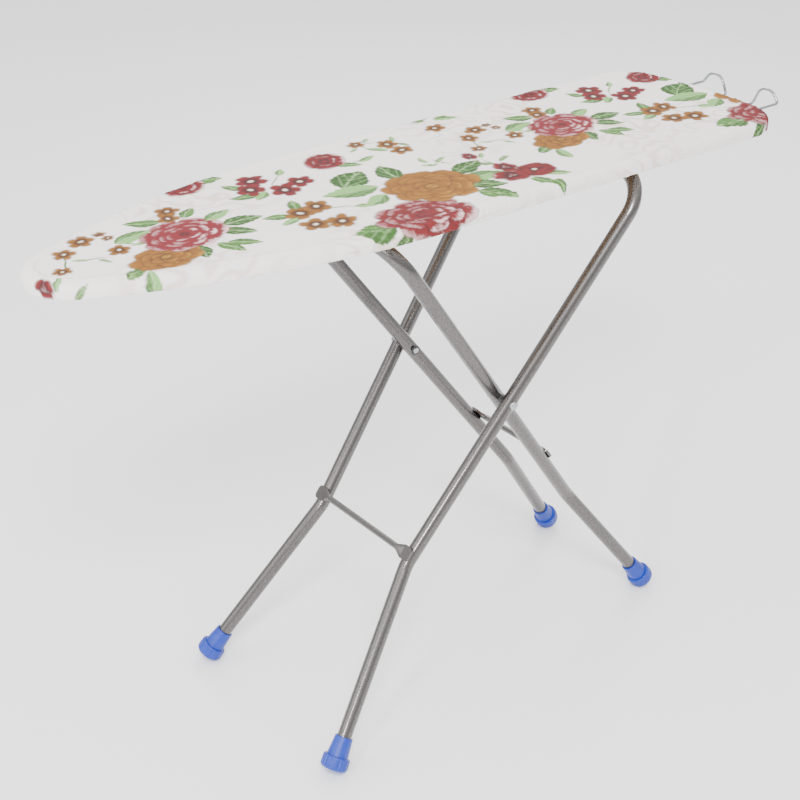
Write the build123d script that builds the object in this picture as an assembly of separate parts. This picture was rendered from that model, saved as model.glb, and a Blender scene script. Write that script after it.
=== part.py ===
from build123d import *
import os
from dataclasses import dataclass
from math import asin, atan2, cos, hypot, pi, radians, sin, sqrt, tan

# Folding ironing board, in millimetres. The floor is z = 0, the narrow nose
# points to -X, the wide end with the iron rest to +X, and the board is
# symmetrical about y = 0. Lengths "from nose" are measured along +X from the
# tip of the nose. The origin is on the floor, under the middle of the overall
# length, iron rest included.

# ---- Board ----
BOARD_LENGTH = 1100.0          # nose tip to wide end, cover included
BOARD_WIDTH = 312.0
BOARD_HEIGHT = 755.0           # ironing surface above the floor
NOSE_RADIUS = 60.0
NOSE_TAPER_LENGTH = 478.0      # nose tip to where the sides turn parallel
END_CORNER_RADIUS = 68.0
END_BULGE_RADIUS = 700.0
COVER_THICKNESS = 0.8
PADDING_THICKNESS = 5.0
PADDING_OVERHANG = 4.6         # padding that falls beside the panel's edge
PANEL_THICKNESS = 10.0
EDGE_RADIUS = 6.5              # rounding of the cover's top edge
HEM_EDGE_RADIUS = 1.0
HEM_WIDTH = 30.0               # cover turned under the panel
HEM_THICKNESS = 1.6
ELASTIC_WIDTH = 6.0
ELASTIC_THICKNESS = 0.8
ELASTIC_FROM_HEM_EDGE = 3.0
LAYER_GAP = 0.2                # between the soft layers

# ---- Leg frames, tube ----
TUBE_DIAMETER = 20.0
TUBE_WALL = 1.2
TOP_BEND_RADIUS = 52.0
LOW_BEND_RADIUS = 60.0
BAR_DROP = 20.0                # panel underside to the centre of both top bars

OUTER_BAR_FROM_NOSE = 826.0
OUTER_FLOOR_FROM_NOSE = 269.0
OUTER_TOP_INSET = 10.0         # leg centre inside the board's side, at the bar
OUTER_TAPER = 48.0             # half width lost from the bar to the bend
OUTER_SPREAD = 63.0            # half width gained from the bend to the floor
OUTER_BEND_FROM_BAR = 612.0
OUTER_CROSSBAR_ABOVE_BEND = 15.0

INNER_BAR_FROM_NOSE = 409.0
INNER_FLOOR_FROM_NOSE = 934.0
LEG_GAP = 5.2                  # between the two frames' tubes at the pivot
INNER_TAPER = 58.0
INNER_SPREAD = 46.5
INNER_BEND_FROM_BAR = 638.0
INNER_CROSSBAR_ABOVE_BEND = 113.0
FOLDED_SLANT = 7.2             # outer frame to the board when folded, degrees

# ---- Crossbars ----
CROSSBAR_DIAMETER = 9.0
CROSSBAR_LIFT = 1.5            # bar axis above the crest of the leg tube
CROSSBAR_PAD_LENGTH = 20.0     # along the leg
CROSSBAR_PAD_WIDTH = 15.0      # across the leg
CROSSBAR_PAD_THICKNESS = 4.0
CROSSBAR_PAD_ROUNDING = 6.0
CROSSBAR_FLARE = 14.0          # length over which the round bar turns flat

# ---- Pivot rivets ----
RIVET_DIAMETER = 6.0
RIVET_FIT = 0.05               # radial, in both frames
RIVET_HEAD_RADIUS = 6.5
RIVET_HEAD_HEIGHT = 3.0
RIVET_HEAD_ROUNDING = 2.4
RIVET_TAIL_RADIUS = 4.6
RIVET_TAIL_HEIGHT = 2.0
RIVET_TAIL_ROUNDING = 1.4
SPACER_RADIUS = 7.0
WASHER_RADIUS = 7.0
WASHER_THICKNESS = 1.2
PIVOT_GAP = 0.25               # side play between the inner frame and its washers

# ---- Feet ----
FOOT_BORE_FIT = 0.1
FOOT_FLOOR_THICKNESS = 8.0
FOOT_COLLAR_WALL_TOP = 2.4     # walls are measured outwards from the bore
FOOT_COLLAR_WALL_LOW = 4.9
FOOT_COLLAR_LENGTH = 27.0
FOOT_FLANGE_WALL = 8.9
FOOT_FLANGE_HEIGHT = 19.0
FOOT_EDGE_RADIUS = 6.0
FOOT_SHOULDER_RADIUS = 2.0
FOOT_RIB_COUNT = 12
FOOT_RIB_DEPTH = 0.8

# ---- Hinge of the outer frame ----
HINGE_HALF_SPACING = 48.0      # saddle centre from y = 0
SADDLE_WIDTH = 20.0
SADDLE_THICKNESS = 2.0
SADDLE_CLEARANCE = 0.3
SADDLE_FOOT_LENGTH = 18.0
BLOCK_SIDE_GAP = 0.2

# ---- Rack for the inner frame's bar ----
RACK_WIDTH = 60.0
RACK_SHEET = 2.0
RACK_TOOTH_CLEARANCE = 1.6     # tooth tips above the sliding bar
RACK_NOTCH_DEPTH = 4.5
RACK_NOTCH_PITCH = 34.0
RACK_NOTCH_COUNT = 5
RACK_END_MARGIN = 26.0         # flange beyond the bar's travel
RACK_SCREW_FROM_SIDE = 10.0
RACK_SCREW_FROM_END = 14.0
KEEPER_WIDTH = 16.0
KEEPER_SHEET = 2.0
KEEPER_CLEARANCE = 0.6
KEEPER_FOOT_LENGTH = 18.0

# ---- Iron rest ----
WIRE_DIAMETER = 4.0
REST_REACH = 77.0              # wire beyond the board's end
REST_LEG_HALF_SPACING = 72.0
REST_LEG_UNDER_BOARD = 150.0
REST_STOP_LENGTH = 16.0
REST_INNER_LEG_HALF_SPACING = 26.0
REST_INNER_LEG_DROP = 10.5     # inner legs under the outer ones
REST_INNER_LEG_UNDER_BOARD = 45.0
REST_HOOP_BELOW_SURFACE = 2.0  # hoop crest under the ironing surface
REST_HOOP_LEAN = 12.0          # each side of a hoop leans in by this much
REST_LEG_BEND = 5.0
REST_HOOP_BEND = 17.0
REST_RETURN_BEND = 20.0
CLIP_WIDTH = 30.0
CLIP_SHEET = 1.6
CLIP_CLEARANCE = 0.3
CLIP_FOOT_LENGTH = 14.0
CLIP_FROM_END = 62.0           # clip centre inside the board's end

# ---- Screws ----
SCREW_SHANK_RADIUS = 1.9
SCREW_HEAD_RADIUS = 3.8
SCREW_HEAD_HEIGHT = 2.2
SCREW_HEAD_ROUNDING = 1.3
SCREW_SLOT_WIDTH = 0.8
SCREW_SLOT_DEPTH = 0.8
SCREW_TIP_COVER = 2.0          # panel left above each screw's tip
SCREW_TIP_ROOM = 0.5           # pilot hole beyond the tip
SCREW_FIT = 0.1

CUT_SPARE = 1.0                # cutting shapes run this far past what they cut

# ---- Derived places ----
OVERALL_LENGTH = BOARD_LENGTH + REST_REACH
NOSE_X = -OVERALL_LENGTH / 2
END_X = NOSE_X + BOARD_LENGTH
HALF_WIDTH = BOARD_WIDTH / 2
PADDING_TOP = BOARD_HEIGHT - COVER_THICKNESS - LAYER_GAP
PANEL_TOP = PADDING_TOP - PADDING_THICKNESS - LAYER_GAP
PANEL_BOTTOM = PANEL_TOP - PANEL_THICKNESS
HEM_TOP = PANEL_BOTTOM - LAYER_GAP
HEM_BOTTOM = HEM_TOP - HEM_THICKNESS
PANEL_INSET = COVER_THICKNESS + 2 * LAYER_GAP + PADDING_OVERHANG
BAR_Z = PANEL_BOTTOM - BAR_DROP
TUBE_RADIUS = TUBE_DIAMETER / 2
SCREW_BITE = PANEL_THICKNESS - SCREW_TIP_COVER
SIDES = {"left": 1, "right": -1}
UP = (Align.CENTER, Align.CENTER, Align.MIN)
DOWN = (Align.CENTER, Align.CENTER, Align.MAX)

FOOT_BORE_RADIUS = TUBE_RADIUS + FOOT_BORE_FIT
FOOT_FLANGE_RADIUS = FOOT_BORE_RADIUS + FOOT_FLANGE_WALL
FOOT_FLANGE_TOP = FOOT_FLANGE_HEIGHT - FOOT_FLOOR_THICKNESS
FOOT_COLLAR_TOP = FOOT_FLANGE_TOP + FOOT_COLLAR_LENGTH

OUTER_BAR_X = NOSE_X + OUTER_BAR_FROM_NOSE
OUTER_FLOOR_X = NOSE_X + OUTER_FLOOR_FROM_NOSE
INNER_BAR_X = NOSE_X + INNER_BAR_FROM_NOSE
INNER_FLOOR_X = NOSE_X + INNER_FLOOR_FROM_NOSE

# The frames cross at the same share of both runs from bar to floor.
PIVOT_SHARE = (OUTER_BAR_X - INNER_BAR_X) / (OUTER_BAR_X - OUTER_FLOOR_X + INNER_FLOOR_X - INNER_BAR_X)
PIVOT_X = OUTER_BAR_X - PIVOT_SHARE * (OUTER_BAR_X - OUTER_FLOOR_X)
PIVOT_Z = BAR_Z * (1 - PIVOT_SHARE)
OUTER_PIVOT_FROM_BAR = hypot(OUTER_BAR_X - PIVOT_X, BAR_Z - PIVOT_Z)
INNER_PIVOT_FROM_BAR = hypot(PIVOT_X - INNER_BAR_X, BAR_Z - PIVOT_Z)

OUTER_HALF_WIDTH_TOP = HALF_WIDTH - OUTER_TOP_INSET
OUTER_PIVOT_Y = OUTER_HALF_WIDTH_TOP - OUTER_TAPER * OUTER_PIVOT_FROM_BAR / OUTER_BEND_FROM_BAR
INNER_PIVOT_Y = OUTER_PIVOT_Y - TUBE_DIAMETER - LEG_GAP
INNER_HALF_WIDTH_TOP = INNER_PIVOT_Y + INNER_TAPER * INNER_PIVOT_FROM_BAR / INNER_BEND_FROM_BAR

# Folding lays the outer frame down to FOLDED_SLANT and slides the inner bar to the nose.
FOLDED_DROP = OUTER_PIVOT_FROM_BAR * sin(radians(FOLDED_SLANT))
FOLDED_SPREAD = OUTER_PIVOT_FROM_BAR * cos(radians(FOLDED_SLANT)) + sqrt(
    INNER_PIVOT_FROM_BAR**2 - FOLDED_DROP**2
)
BAR_TRAVEL = FOLDED_SPREAD - (OUTER_BAR_X - INNER_BAR_X)

SADDLE_INNER = TUBE_RADIUS + SADDLE_CLEARANCE
SADDLE_OUTER = SADDLE_INNER + SADDLE_THICKNESS
SADDLE_SCREW_OFFSET = SADDLE_OUTER + SADDLE_FOOT_LENGTH / 2

RACK_TIP_Z = BAR_Z + TUBE_RADIUS + RACK_TOOTH_CLEARANCE
RACK_NOSE_X = INNER_BAR_X - BAR_TRAVEL - TUBE_RADIUS - RACK_END_MARGIN
RACK_END_X = INNER_BAR_X + TUBE_RADIUS + RACK_END_MARGIN
RACK_SCREW_HALF_SPACING = RACK_WIDTH / 2 - RACK_SCREW_FROM_SIDE
KEEPER_TOP_Z = BAR_Z - TUBE_RADIUS - KEEPER_CLEARANCE
KEEPER_NOSE_SCREW_X = RACK_NOSE_X + KEEPER_FOOT_LENGTH / 2
KEEPER_END_SCREW_X = RACK_END_X - KEEPER_FOOT_LENGTH / 2

WIRE_RADIUS = WIRE_DIAMETER / 2
WIRE_Z = HEM_BOTTOM - CLIP_CLEARANCE - WIRE_RADIUS
WIRE_END_X = END_X + REST_REACH - WIRE_RADIUS
CLIP_X = END_X - CLIP_FROM_END
CLIP_HALF_CHANNEL = WIRE_RADIUS + CLIP_CLEARANCE
CLIP_SCREW_OFFSET = CLIP_HALF_CHANNEL + CLIP_SHEET + CLIP_FOOT_LENGTH / 2


def board_outline(inset):
    """The board seen from above as a face, moved inwards by inset."""
    tip_x = NOSE_X + NOSE_RADIUS
    side_x = NOSE_X + NOSE_TAPER_LENGTH
    run = side_x - tip_x
    side_radius = (run**2 + HALF_WIDTH**2 - NOSE_RADIUS**2) / (2 * (HALF_WIDTH - NOSE_RADIUS))
    side_y = HALF_WIDTH - side_radius
    side_angle = asin(run / (side_radius - NOSE_RADIUS))
    bulge_x = END_X - END_BULGE_RADIUS
    corner_y = HALF_WIDTH - END_CORNER_RADIUS
    corner_x = bulge_x + sqrt((END_BULGE_RADIUS - END_CORNER_RADIUS) ** 2 - corner_y**2)
    corner_angle = atan2(corner_y, corner_x - bulge_x)

    def arc(centre_x, centre_y, radius, start, end):
        """Arc between two directions in radians, measured from +X."""
        return ThreePointArc(*[
            (centre_x + (radius - inset) * cos(turn), centre_y + (radius - inset) * sin(turn))
            for turn in (start, (start + end) / 2, end)
        ])

    half = [
        arc(tip_x, 0, NOSE_RADIUS, pi, pi / 2 + side_angle),
        arc(side_x, side_y, side_radius, pi / 2 + side_angle, pi / 2),
        Line((side_x, HALF_WIDTH - inset), (corner_x, HALF_WIDTH - inset)),
        arc(corner_x, corner_y, END_CORNER_RADIUS, pi / 2, corner_angle),
        arc(bulge_x, 0, END_BULGE_RADIUS, corner_angle, 0),
    ]
    return make_face(Curve() + half + [edge.mirror(Plane.XZ) for edge in half])


def plate(inset, low, high):
    """Board-shaped slab between two heights."""
    return extrude(Pos(0, 0, low) * board_outline(inset), high - low)


def edges_at(solid, height):
    """The edges of a slab whose middles lie at one height."""
    return [edge for edge in solid.edges() if abs(edge.center().Z - height) < LAYER_GAP / 10]


@dataclass
class LegFrame:
    """One U-shaped leg frame, bent in a single slanted plane."""

    bar_x: float
    floor_x: float
    half_top: float
    half_bend: float
    half_floor: float
    bend_from_bar: float
    crossbar_from_bar: float

    @property
    def run(self):
        """Distance from the top bar to the floor, down the frame's plane."""
        return hypot(self.floor_x - self.bar_x, BAR_Z)

    @property
    def plane(self):
        """Frame plane: X down the leg, Y across, Z off the face that looks up."""
        down = Vector(self.floor_x - self.bar_x, 0, -BAR_Z).normalized()
        across = Vector(0, 1, 0) if down.X > 0 else Vector(0, -1, 0)
        return Plane((self.bar_x, 0, BAR_Z), x_dir=down, z_dir=down.cross(across))

    def half_width(self, from_bar):
        """Half the distance between the leg centres, below the top bend."""
        if from_bar <= self.bend_from_bar:
            share = from_bar / self.bend_from_bar
            return self.half_top + share * (self.half_bend - self.half_top)
        share = (from_bar - self.bend_from_bar) / (self.run - self.bend_from_bar)
        return self.half_bend + share * (self.half_floor - self.half_bend)

    def point(self, from_bar, side):
        """Leg centre in space, at a distance down the frame's plane."""
        spot = self.plane.from_local_coords((from_bar, 0, 0))
        return Vector(spot.X, side * self.half_width(from_bar), spot.Z)

    def direction(self, side, lower=True):
        """Unit vector down one leg's lower or upper stretch."""
        start, end = (self.bend_from_bar, self.run) if lower else (0, self.bend_from_bar)
        return (self.point(end, side) - self.point(start, side)).normalized()

    @property
    def tube_end(self):
        """Distance from the bar to where the tube stops, inside its foot.

        The foot's rounded rim just touches the floor.
        """
        down = self.direction(1)
        rim = (FOOT_FLANGE_RADIUS - FOOT_EDGE_RADIUS) * sqrt(1 - down.Z**2) + FOOT_EDGE_RADIUS
        end_z = rim - down.Z * (FOOT_FLOOR_THICKNESS - FOOT_EDGE_RADIUS)
        return self.run * (1 - end_z / BAR_Z)

    def path(self):
        """Centreline of the bent tube, foot to foot."""
        end = self.tube_end
        corners = [(end, self.half_width(end)), (self.bend_from_bar, self.half_bend), (0, self.half_top)]
        corners += [(x, -y) for x, y in reversed(corners)]
        radii = [LOW_BEND_RADIUS, TOP_BEND_RADIUS, TOP_BEND_RADIUS, LOW_BEND_RADIUS]
        return self.plane * FilletPolyline(*corners, radius=radii)

    def swept(self, radius):
        """Solid rod of one radius along the centreline."""
        path = self.path()
        return sweep(Plane(path @ 0, z_dir=path % 0) * Circle(radius), path=path)

    def tube_side(self, radius):
        """How far a leg reaches across from its centre, within a radius of the pivot."""
        down = self.direction(1, lower=False)
        lean = asin(abs(down.Y))
        return TUBE_RADIUS / cos(lean) + radius * tan(lean)


outer = LegFrame(
    bar_x=OUTER_BAR_X,
    floor_x=OUTER_FLOOR_X,
    half_top=OUTER_HALF_WIDTH_TOP,
    half_bend=OUTER_HALF_WIDTH_TOP - OUTER_TAPER,
    half_floor=OUTER_HALF_WIDTH_TOP - OUTER_TAPER + OUTER_SPREAD,
    bend_from_bar=OUTER_BEND_FROM_BAR,
    crossbar_from_bar=OUTER_BEND_FROM_BAR - OUTER_CROSSBAR_ABOVE_BEND,
)
inner = LegFrame(
    bar_x=INNER_BAR_X,
    floor_x=INNER_FLOOR_X,
    half_top=INNER_HALF_WIDTH_TOP,
    half_bend=INNER_HALF_WIDTH_TOP - INNER_TAPER,
    half_floor=INNER_HALF_WIDTH_TOP - INNER_TAPER + INNER_SPREAD,
    bend_from_bar=INNER_BEND_FROM_BAR,
    crossbar_from_bar=INNER_BEND_FROM_BAR - INNER_CROSSBAR_ABOVE_BEND,
)
INNER_FACE_OUT = INNER_PIVOT_Y + inner.tube_side(SPACER_RADIUS) + PIVOT_GAP
INNER_FACE_IN = INNER_PIVOT_Y - inner.tube_side(WASHER_RADIUS) - PIVOT_GAP
WASHER_FACE = INNER_FACE_IN - WASHER_THICKNESS


# ---- Board pieces ----

def underside_screws():
    """Places of every screw under the panel, and the sheet thickness each clamps."""
    hinge = [
        (outer.bar_x + along, side * HINGE_HALF_SPACING, SADDLE_THICKNESS)
        for side in (1, -1)
        for along in (-SADDLE_SCREW_OFFSET, SADDLE_SCREW_OFFSET)
    ]
    rack = [
        (x, side * RACK_SCREW_HALF_SPACING, RACK_SHEET)
        for x in (RACK_NOSE_X + RACK_SCREW_FROM_END, RACK_END_X - RACK_SCREW_FROM_END)
        for side in (1, -1)
    ]
    keeper = [(x, 0, RACK_SHEET + KEEPER_SHEET) for x in (KEEPER_NOSE_SCREW_X, KEEPER_END_SCREW_X)]
    clips = [
        (CLIP_X, side * REST_LEG_HALF_SPACING + across, CLIP_SHEET)
        for side in (1, -1)
        for across in (-CLIP_SCREW_OFFSET, CLIP_SCREW_OFFSET)
    ]
    return {"saddle_screws": hinge, "rack_screws": rack + keeper, "clip_screws": clips}


def screw(x, y, clamped):
    """Pan-head wood screw driven up into the panel."""
    seat = PANEL_BOTTOM - clamped
    shank = Pos(x, y, seat) * Cylinder(SCREW_SHANK_RADIUS, clamped + SCREW_BITE, align=UP)
    head = Pos(x, y, seat) * Cylinder(SCREW_HEAD_RADIUS, SCREW_HEAD_HEIGHT, align=DOWN)
    head = fillet(edges_at(head, seat - SCREW_HEAD_HEIGHT), SCREW_HEAD_ROUNDING)
    slot = Box(SCREW_HEAD_RADIUS, SCREW_SLOT_WIDTH, 2 * SCREW_SLOT_DEPTH)
    cross = slot + Rot(0, 0, 90) * slot
    return shank + head - Pos(x, y, seat - SCREW_HEAD_HEIGHT) * cross


def screw_hole(x, y, low, high):
    """Round clearance hole for a screw's shank."""
    return Pos(x, y, (low + high) / 2) * Cylinder(SCREW_SHANK_RADIUS + SCREW_FIT, high - low)


def board_panel():
    """Wood panel with its pilot holes."""
    panel = plate(PANEL_INSET, PANEL_BOTTOM, PANEL_TOP)
    pilots = [
        screw_hole(x, y, PANEL_BOTTOM - CUT_SPARE, PANEL_BOTTOM + SCREW_BITE + SCREW_TIP_ROOM)
        for group in underside_screws().values()
        for x, y, _ in group
    ]
    return panel - pilots


def padding():
    """Felt pad that covers the panel and falls beside its edge."""
    pad = plate(COVER_THICKNESS + LAYER_GAP, PANEL_BOTTOM, PADDING_TOP)
    pad = fillet(edges_at(pad, PADDING_TOP), EDGE_RADIUS - COVER_THICKNESS - LAYER_GAP)
    return pad - plate(PANEL_INSET - LAYER_GAP, PANEL_BOTTOM - CUT_SPARE, PANEL_TOP + LAYER_GAP)


def cover():
    """Cotton cover over the pad, its hem turned under the panel."""
    skin = plate(0, HEM_BOTTOM, BOARD_HEIGHT)
    skin = fillet(edges_at(skin, BOARD_HEIGHT), EDGE_RADIUS)
    skin = fillet(edges_at(skin, HEM_BOTTOM), HEM_EDGE_RADIUS)
    inside = plate(COVER_THICKNESS, HEM_TOP, BOARD_HEIGHT - COVER_THICKNESS)
    inside = fillet(edges_at(inside, BOARD_HEIGHT - COVER_THICKNESS), EDGE_RADIUS - COVER_THICKNESS)
    mouth = plate(HEM_WIDTH, HEM_BOTTOM - CUT_SPARE, HEM_TOP + CUT_SPARE)
    channel = elastic_ring(LAYER_GAP, HEM_TOP - ELASTIC_THICKNESS - LAYER_GAP, HEM_TOP + CUT_SPARE)
    return skin - inside - mouth - channel


def elastic_ring(spare, low, high):
    """Flat ring that follows the hem's inner edge, widened by spare each side."""
    outside = HEM_WIDTH - ELASTIC_FROM_HEM_EDGE - ELASTIC_WIDTH
    ring = plate(outside - spare, low, high)
    return ring - plate(outside + ELASTIC_WIDTH + spare, low - CUT_SPARE, high + CUT_SPARE)


def hem_elastic():
    """Elastic band lying in the hem's channel."""
    return elastic_ring(0, HEM_TOP - ELASTIC_THICKNESS, HEM_TOP)


# ---- Hinge of the outer frame ----

def saddle(side):
    """Steel strap that hangs the outer frame's bar from the panel."""
    reach = SADDLE_OUTER + SADDLE_FOOT_LENGTH
    strap = Pos(0, BAR_DROP / 2) * Rectangle(2 * SADDLE_OUTER, BAR_DROP) + Circle(SADDLE_OUTER)
    strap += Pos(0, BAR_DROP - SADDLE_THICKNESS / 2) * Rectangle(2 * reach, SADDLE_THICKNESS)
    strap -= Pos(0, BAR_DROP / 2) * Rectangle(2 * SADDLE_INNER, BAR_DROP) + Circle(SADDLE_INNER)
    section = Plane((outer.bar_x, side * HINGE_HALF_SPACING, BAR_Z), x_dir=(1, 0, 0), z_dir=(0, -1, 0))
    body = extrude(section * strap, SADDLE_WIDTH / 2, both=True)
    holes = [
        screw_hole(outer.bar_x + along, side * HINGE_HALF_SPACING, BAR_Z, PANEL_BOTTOM + CUT_SPARE)
        for along in (-SADDLE_SCREW_OFFSET, SADDLE_SCREW_OFFSET)
    ]
    return body - holes


def hinge_block(side):
    """Nylon block inside the strap that carries the board on the bar."""
    width = 2 * (SADDLE_INNER - BLOCK_SIDE_GAP)
    block = Pos(outer.bar_x, side * HINGE_HALF_SPACING, PANEL_BOTTOM - BAR_DROP / 2)
    block *= Box(width, SADDLE_WIDTH, BAR_DROP)
    bore = Pos(outer.bar_x, 0, BAR_Z) * Rot(90, 0, 0) * Cylinder(SADDLE_INNER, BOARD_WIDTH)
    return block - bore


# ---- Rack and its keeper ----

def height_rack():
    """Pressed channel with notches that the inner frame's bar bears up into."""
    length = RACK_END_X - RACK_NOSE_X
    middle = (RACK_END_X + RACK_NOSE_X) / 2
    depth = PANEL_BOTTOM - RACK_TIP_Z
    web = Pos(middle, 0, PANEL_BOTTOM - RACK_SHEET / 2) * Box(length, RACK_WIDTH, RACK_SHEET)
    wall_y = (RACK_WIDTH - RACK_SHEET) / 2
    walls = [
        Pos(middle, side * wall_y, PANEL_BOTTOM - depth / 2) * Box(length, RACK_SHEET, depth)
        for side in (1, -1)
    ]
    notch_z = RACK_TIP_Z + RACK_NOTCH_DEPTH - TUBE_RADIUS
    notches = [
        Pos(inner.bar_x - step * RACK_NOTCH_PITCH, 0, notch_z)
        * Rot(90, 0, 0) * Cylinder(TUBE_RADIUS, RACK_WIDTH + CUT_SPARE)
        for step in range(RACK_NOTCH_COUNT)
    ]
    holes = [
        screw_hole(x, y, PANEL_BOTTOM - RACK_SHEET - CUT_SPARE, PANEL_BOTTOM + CUT_SPARE)
        for x, y, _ in underside_screws()["rack_screws"]
    ]
    return web + walls - notches - holes


def rack_keeper():
    """Flat strap under the bar that keeps it in the rack."""
    seat = PANEL_BOTTOM - RACK_SHEET
    drop = seat - KEEPER_TOP_Z + KEEPER_SHEET
    nose_wall = RACK_NOSE_X + KEEPER_FOOT_LENGTH
    end_wall = RACK_END_X - KEEPER_FOOT_LENGTH
    path = [
        (RACK_NOSE_X, seat), (nose_wall, seat), (nose_wall, KEEPER_TOP_Z),
        (end_wall, KEEPER_TOP_Z), (end_wall, seat), (RACK_END_X, seat),
        (RACK_END_X, seat - KEEPER_SHEET), (end_wall + KEEPER_SHEET, seat - KEEPER_SHEET),
        (end_wall + KEEPER_SHEET, seat - drop), (nose_wall - KEEPER_SHEET, seat - drop),
        (nose_wall - KEEPER_SHEET, seat - KEEPER_SHEET), (RACK_NOSE_X, seat - KEEPER_SHEET),
    ]
    section = Plane((0, 0, 0), x_dir=(1, 0, 0), z_dir=(0, -1, 0)) * make_face(Polyline(*path, close=True))
    strap = extrude(section, KEEPER_WIDTH / 2, both=True)
    holes = [
        screw_hole(x, 0, seat - KEEPER_SHEET - CUT_SPARE, seat + CUT_SPARE)
        for x in (KEEPER_NOSE_SCREW_X, KEEPER_END_SCREW_X)
    ]
    return strap - holes


# ---- Iron rest ----

def iron_rest_wire():
    """One bent wire: outer legs under the board, a hoop on each, and a loop of inner legs."""
    crest = BOARD_HEIGHT - REST_HOOP_BELOW_SURFACE - WIRE_RADIUS
    outer_y = REST_LEG_HALF_SPACING
    inner_y = REST_INNER_LEG_HALF_SPACING
    inner_z = WIRE_Z - REST_INNER_LEG_DROP
    outer_start = END_X - REST_LEG_UNDER_BOARD
    half = [
        (outer_start, outer_y - REST_STOP_LENGTH, WIRE_Z),
        (outer_start, outer_y, WIRE_Z),
        (WIRE_END_X, outer_y, WIRE_Z),
        (WIRE_END_X, outer_y - REST_HOOP_LEAN, crest),
        (WIRE_END_X, inner_y + REST_HOOP_LEAN, crest),
        (WIRE_END_X, inner_y, inner_z),
        (END_X - REST_INNER_LEG_UNDER_BOARD, inner_y, inner_z),
    ]
    radii = [REST_LEG_BEND, REST_LEG_BEND, REST_HOOP_BEND, REST_HOOP_BEND, REST_LEG_BEND, REST_RETURN_BEND]
    points = half + [(x, -y, z) for x, y, z in reversed(half)]
    path = FilletPolyline(*points, radius=radii + radii[::-1])
    return sweep(Plane(path @ 0, z_dir=path % 0) * Circle(WIRE_RADIUS), path=path)


def iron_rest_clip(side):
    """Pressed clip that holds one leg of the wire and lets it slide."""
    drop = PANEL_BOTTOM - WIRE_Z
    reach = CLIP_HALF_CHANNEL + CLIP_SHEET + CLIP_FOOT_LENGTH
    outside = CLIP_HALF_CHANNEL + CLIP_SHEET
    clip = Pos(0, drop / 2) * Rectangle(2 * outside, drop) + Circle(outside)
    clip += Pos(0, drop - CLIP_SHEET / 2) * Rectangle(2 * reach, CLIP_SHEET)
    clip -= Pos(0, drop / 2) * Rectangle(2 * CLIP_HALF_CHANNEL, drop) + Circle(CLIP_HALF_CHANNEL)
    y = side * REST_LEG_HALF_SPACING
    section = Plane((CLIP_X, y, WIRE_Z), x_dir=(0, 1, 0), z_dir=(1, 0, 0))
    body = extrude(section * clip, CLIP_WIDTH / 2, both=True)
    holes = [
        screw_hole(CLIP_X, y + across, WIRE_Z, PANEL_BOTTOM + CUT_SPARE)
        for across in (-CLIP_SCREW_OFFSET, CLIP_SCREW_OFFSET)
    ]
    return body - holes


# ---- Leg frames and what rides on them ----

def rivet_axis(radius):
    """Rod along the pivot line through both frames."""
    return Pos(PIVOT_X, 0, PIVOT_Z) * Rot(90, 0, 0) * Cylinder(radius, 2 * BOARD_WIDTH)


def leg_frame(frame):
    """Bent hollow tube with its rivet holes."""
    return frame.swept(TUBE_RADIUS) - frame.swept(TUBE_RADIUS - TUBE_WALL) - rivet_axis(
        RIVET_DIAMETER / 2 + RIVET_FIT
    )


def crossbar(frame):
    """Brace between the legs, its ends flattened and welded on their upper faces."""
    at = frame.crossbar_from_bar
    reach = frame.half_width(at)
    flat_from = reach - CROSSBAR_PAD_WIDTH / 2
    round_to = flat_from - CROSSBAR_FLARE
    round_section = Circle(CROSSBAR_DIAMETER / 2)
    flat_section = Rectangle(CROSSBAR_PAD_THICKNESS, CROSSBAR_PAD_LENGTH)
    half = extrude(Plane.ZX * round_section, round_to)
    half += loft([Plane.ZX.offset(round_to) * round_section, Plane.ZX.offset(flat_from) * flat_section])
    pad = Pos(0, reach, 0) * Box(CROSSBAR_PAD_LENGTH, CROSSBAR_PAD_WIDTH, CROSSBAR_PAD_THICKNESS)
    half += fillet(pad.edges().filter_by(Axis.Z).group_by(Axis.Y)[-1], CROSSBAR_PAD_ROUNDING)
    bar = half + mirror(half, about=Plane.XZ)
    return frame.plane * Pos(at, 0, TUBE_RADIUS + CROSSBAR_LIFT) * bar - frame.swept(TUBE_RADIUS)


def foot(frame, side):
    """Plastic ferrule pushed over the end of one leg."""
    profile = make_face(Polyline(
        (0, -FOOT_FLOOR_THICKNESS),
        (FOOT_FLANGE_RADIUS, -FOOT_FLOOR_THICKNESS),
        (FOOT_FLANGE_RADIUS, FOOT_FLANGE_TOP),
        (FOOT_BORE_RADIUS + FOOT_COLLAR_WALL_LOW, FOOT_FLANGE_TOP),
        (FOOT_BORE_RADIUS + FOOT_COLLAR_WALL_TOP, FOOT_COLLAR_TOP),
        (0, FOOT_COLLAR_TOP),
        close=True,
    ))
    rim = profile.vertices().group_by(Axis.X)[-1].sort_by(Axis.Y)[0]
    profile = fillet(rim, FOOT_EDGE_RADIUS)
    shoulder = profile.vertices().sort_by_distance((FOOT_FLANGE_RADIUS, FOOT_FLANGE_TOP))[0]
    profile = fillet(shoulder, FOOT_SHOULDER_RADIUS)
    body = revolve(Plane.XZ * profile, Axis.Z)
    flute = Pos(FOOT_FLANGE_RADIUS + FOOT_SHOULDER_RADIUS, 0, 0) * Cylinder(
        FOOT_SHOULDER_RADIUS + FOOT_RIB_DEPTH, 3 * FOOT_FLANGE_HEIGHT
    )
    body -= [Rot(0, 0, 360 * turn / FOOT_RIB_COUNT) * flute for turn in range(FOOT_RIB_COUNT)]
    body -= Cylinder(FOOT_BORE_RADIUS, 2 * FOOT_COLLAR_TOP, align=UP)
    end = frame.point(frame.tube_end, side)
    return Plane(end, x_dir=(0, 1, 0), z_dir=-frame.direction(side)) * body


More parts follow.
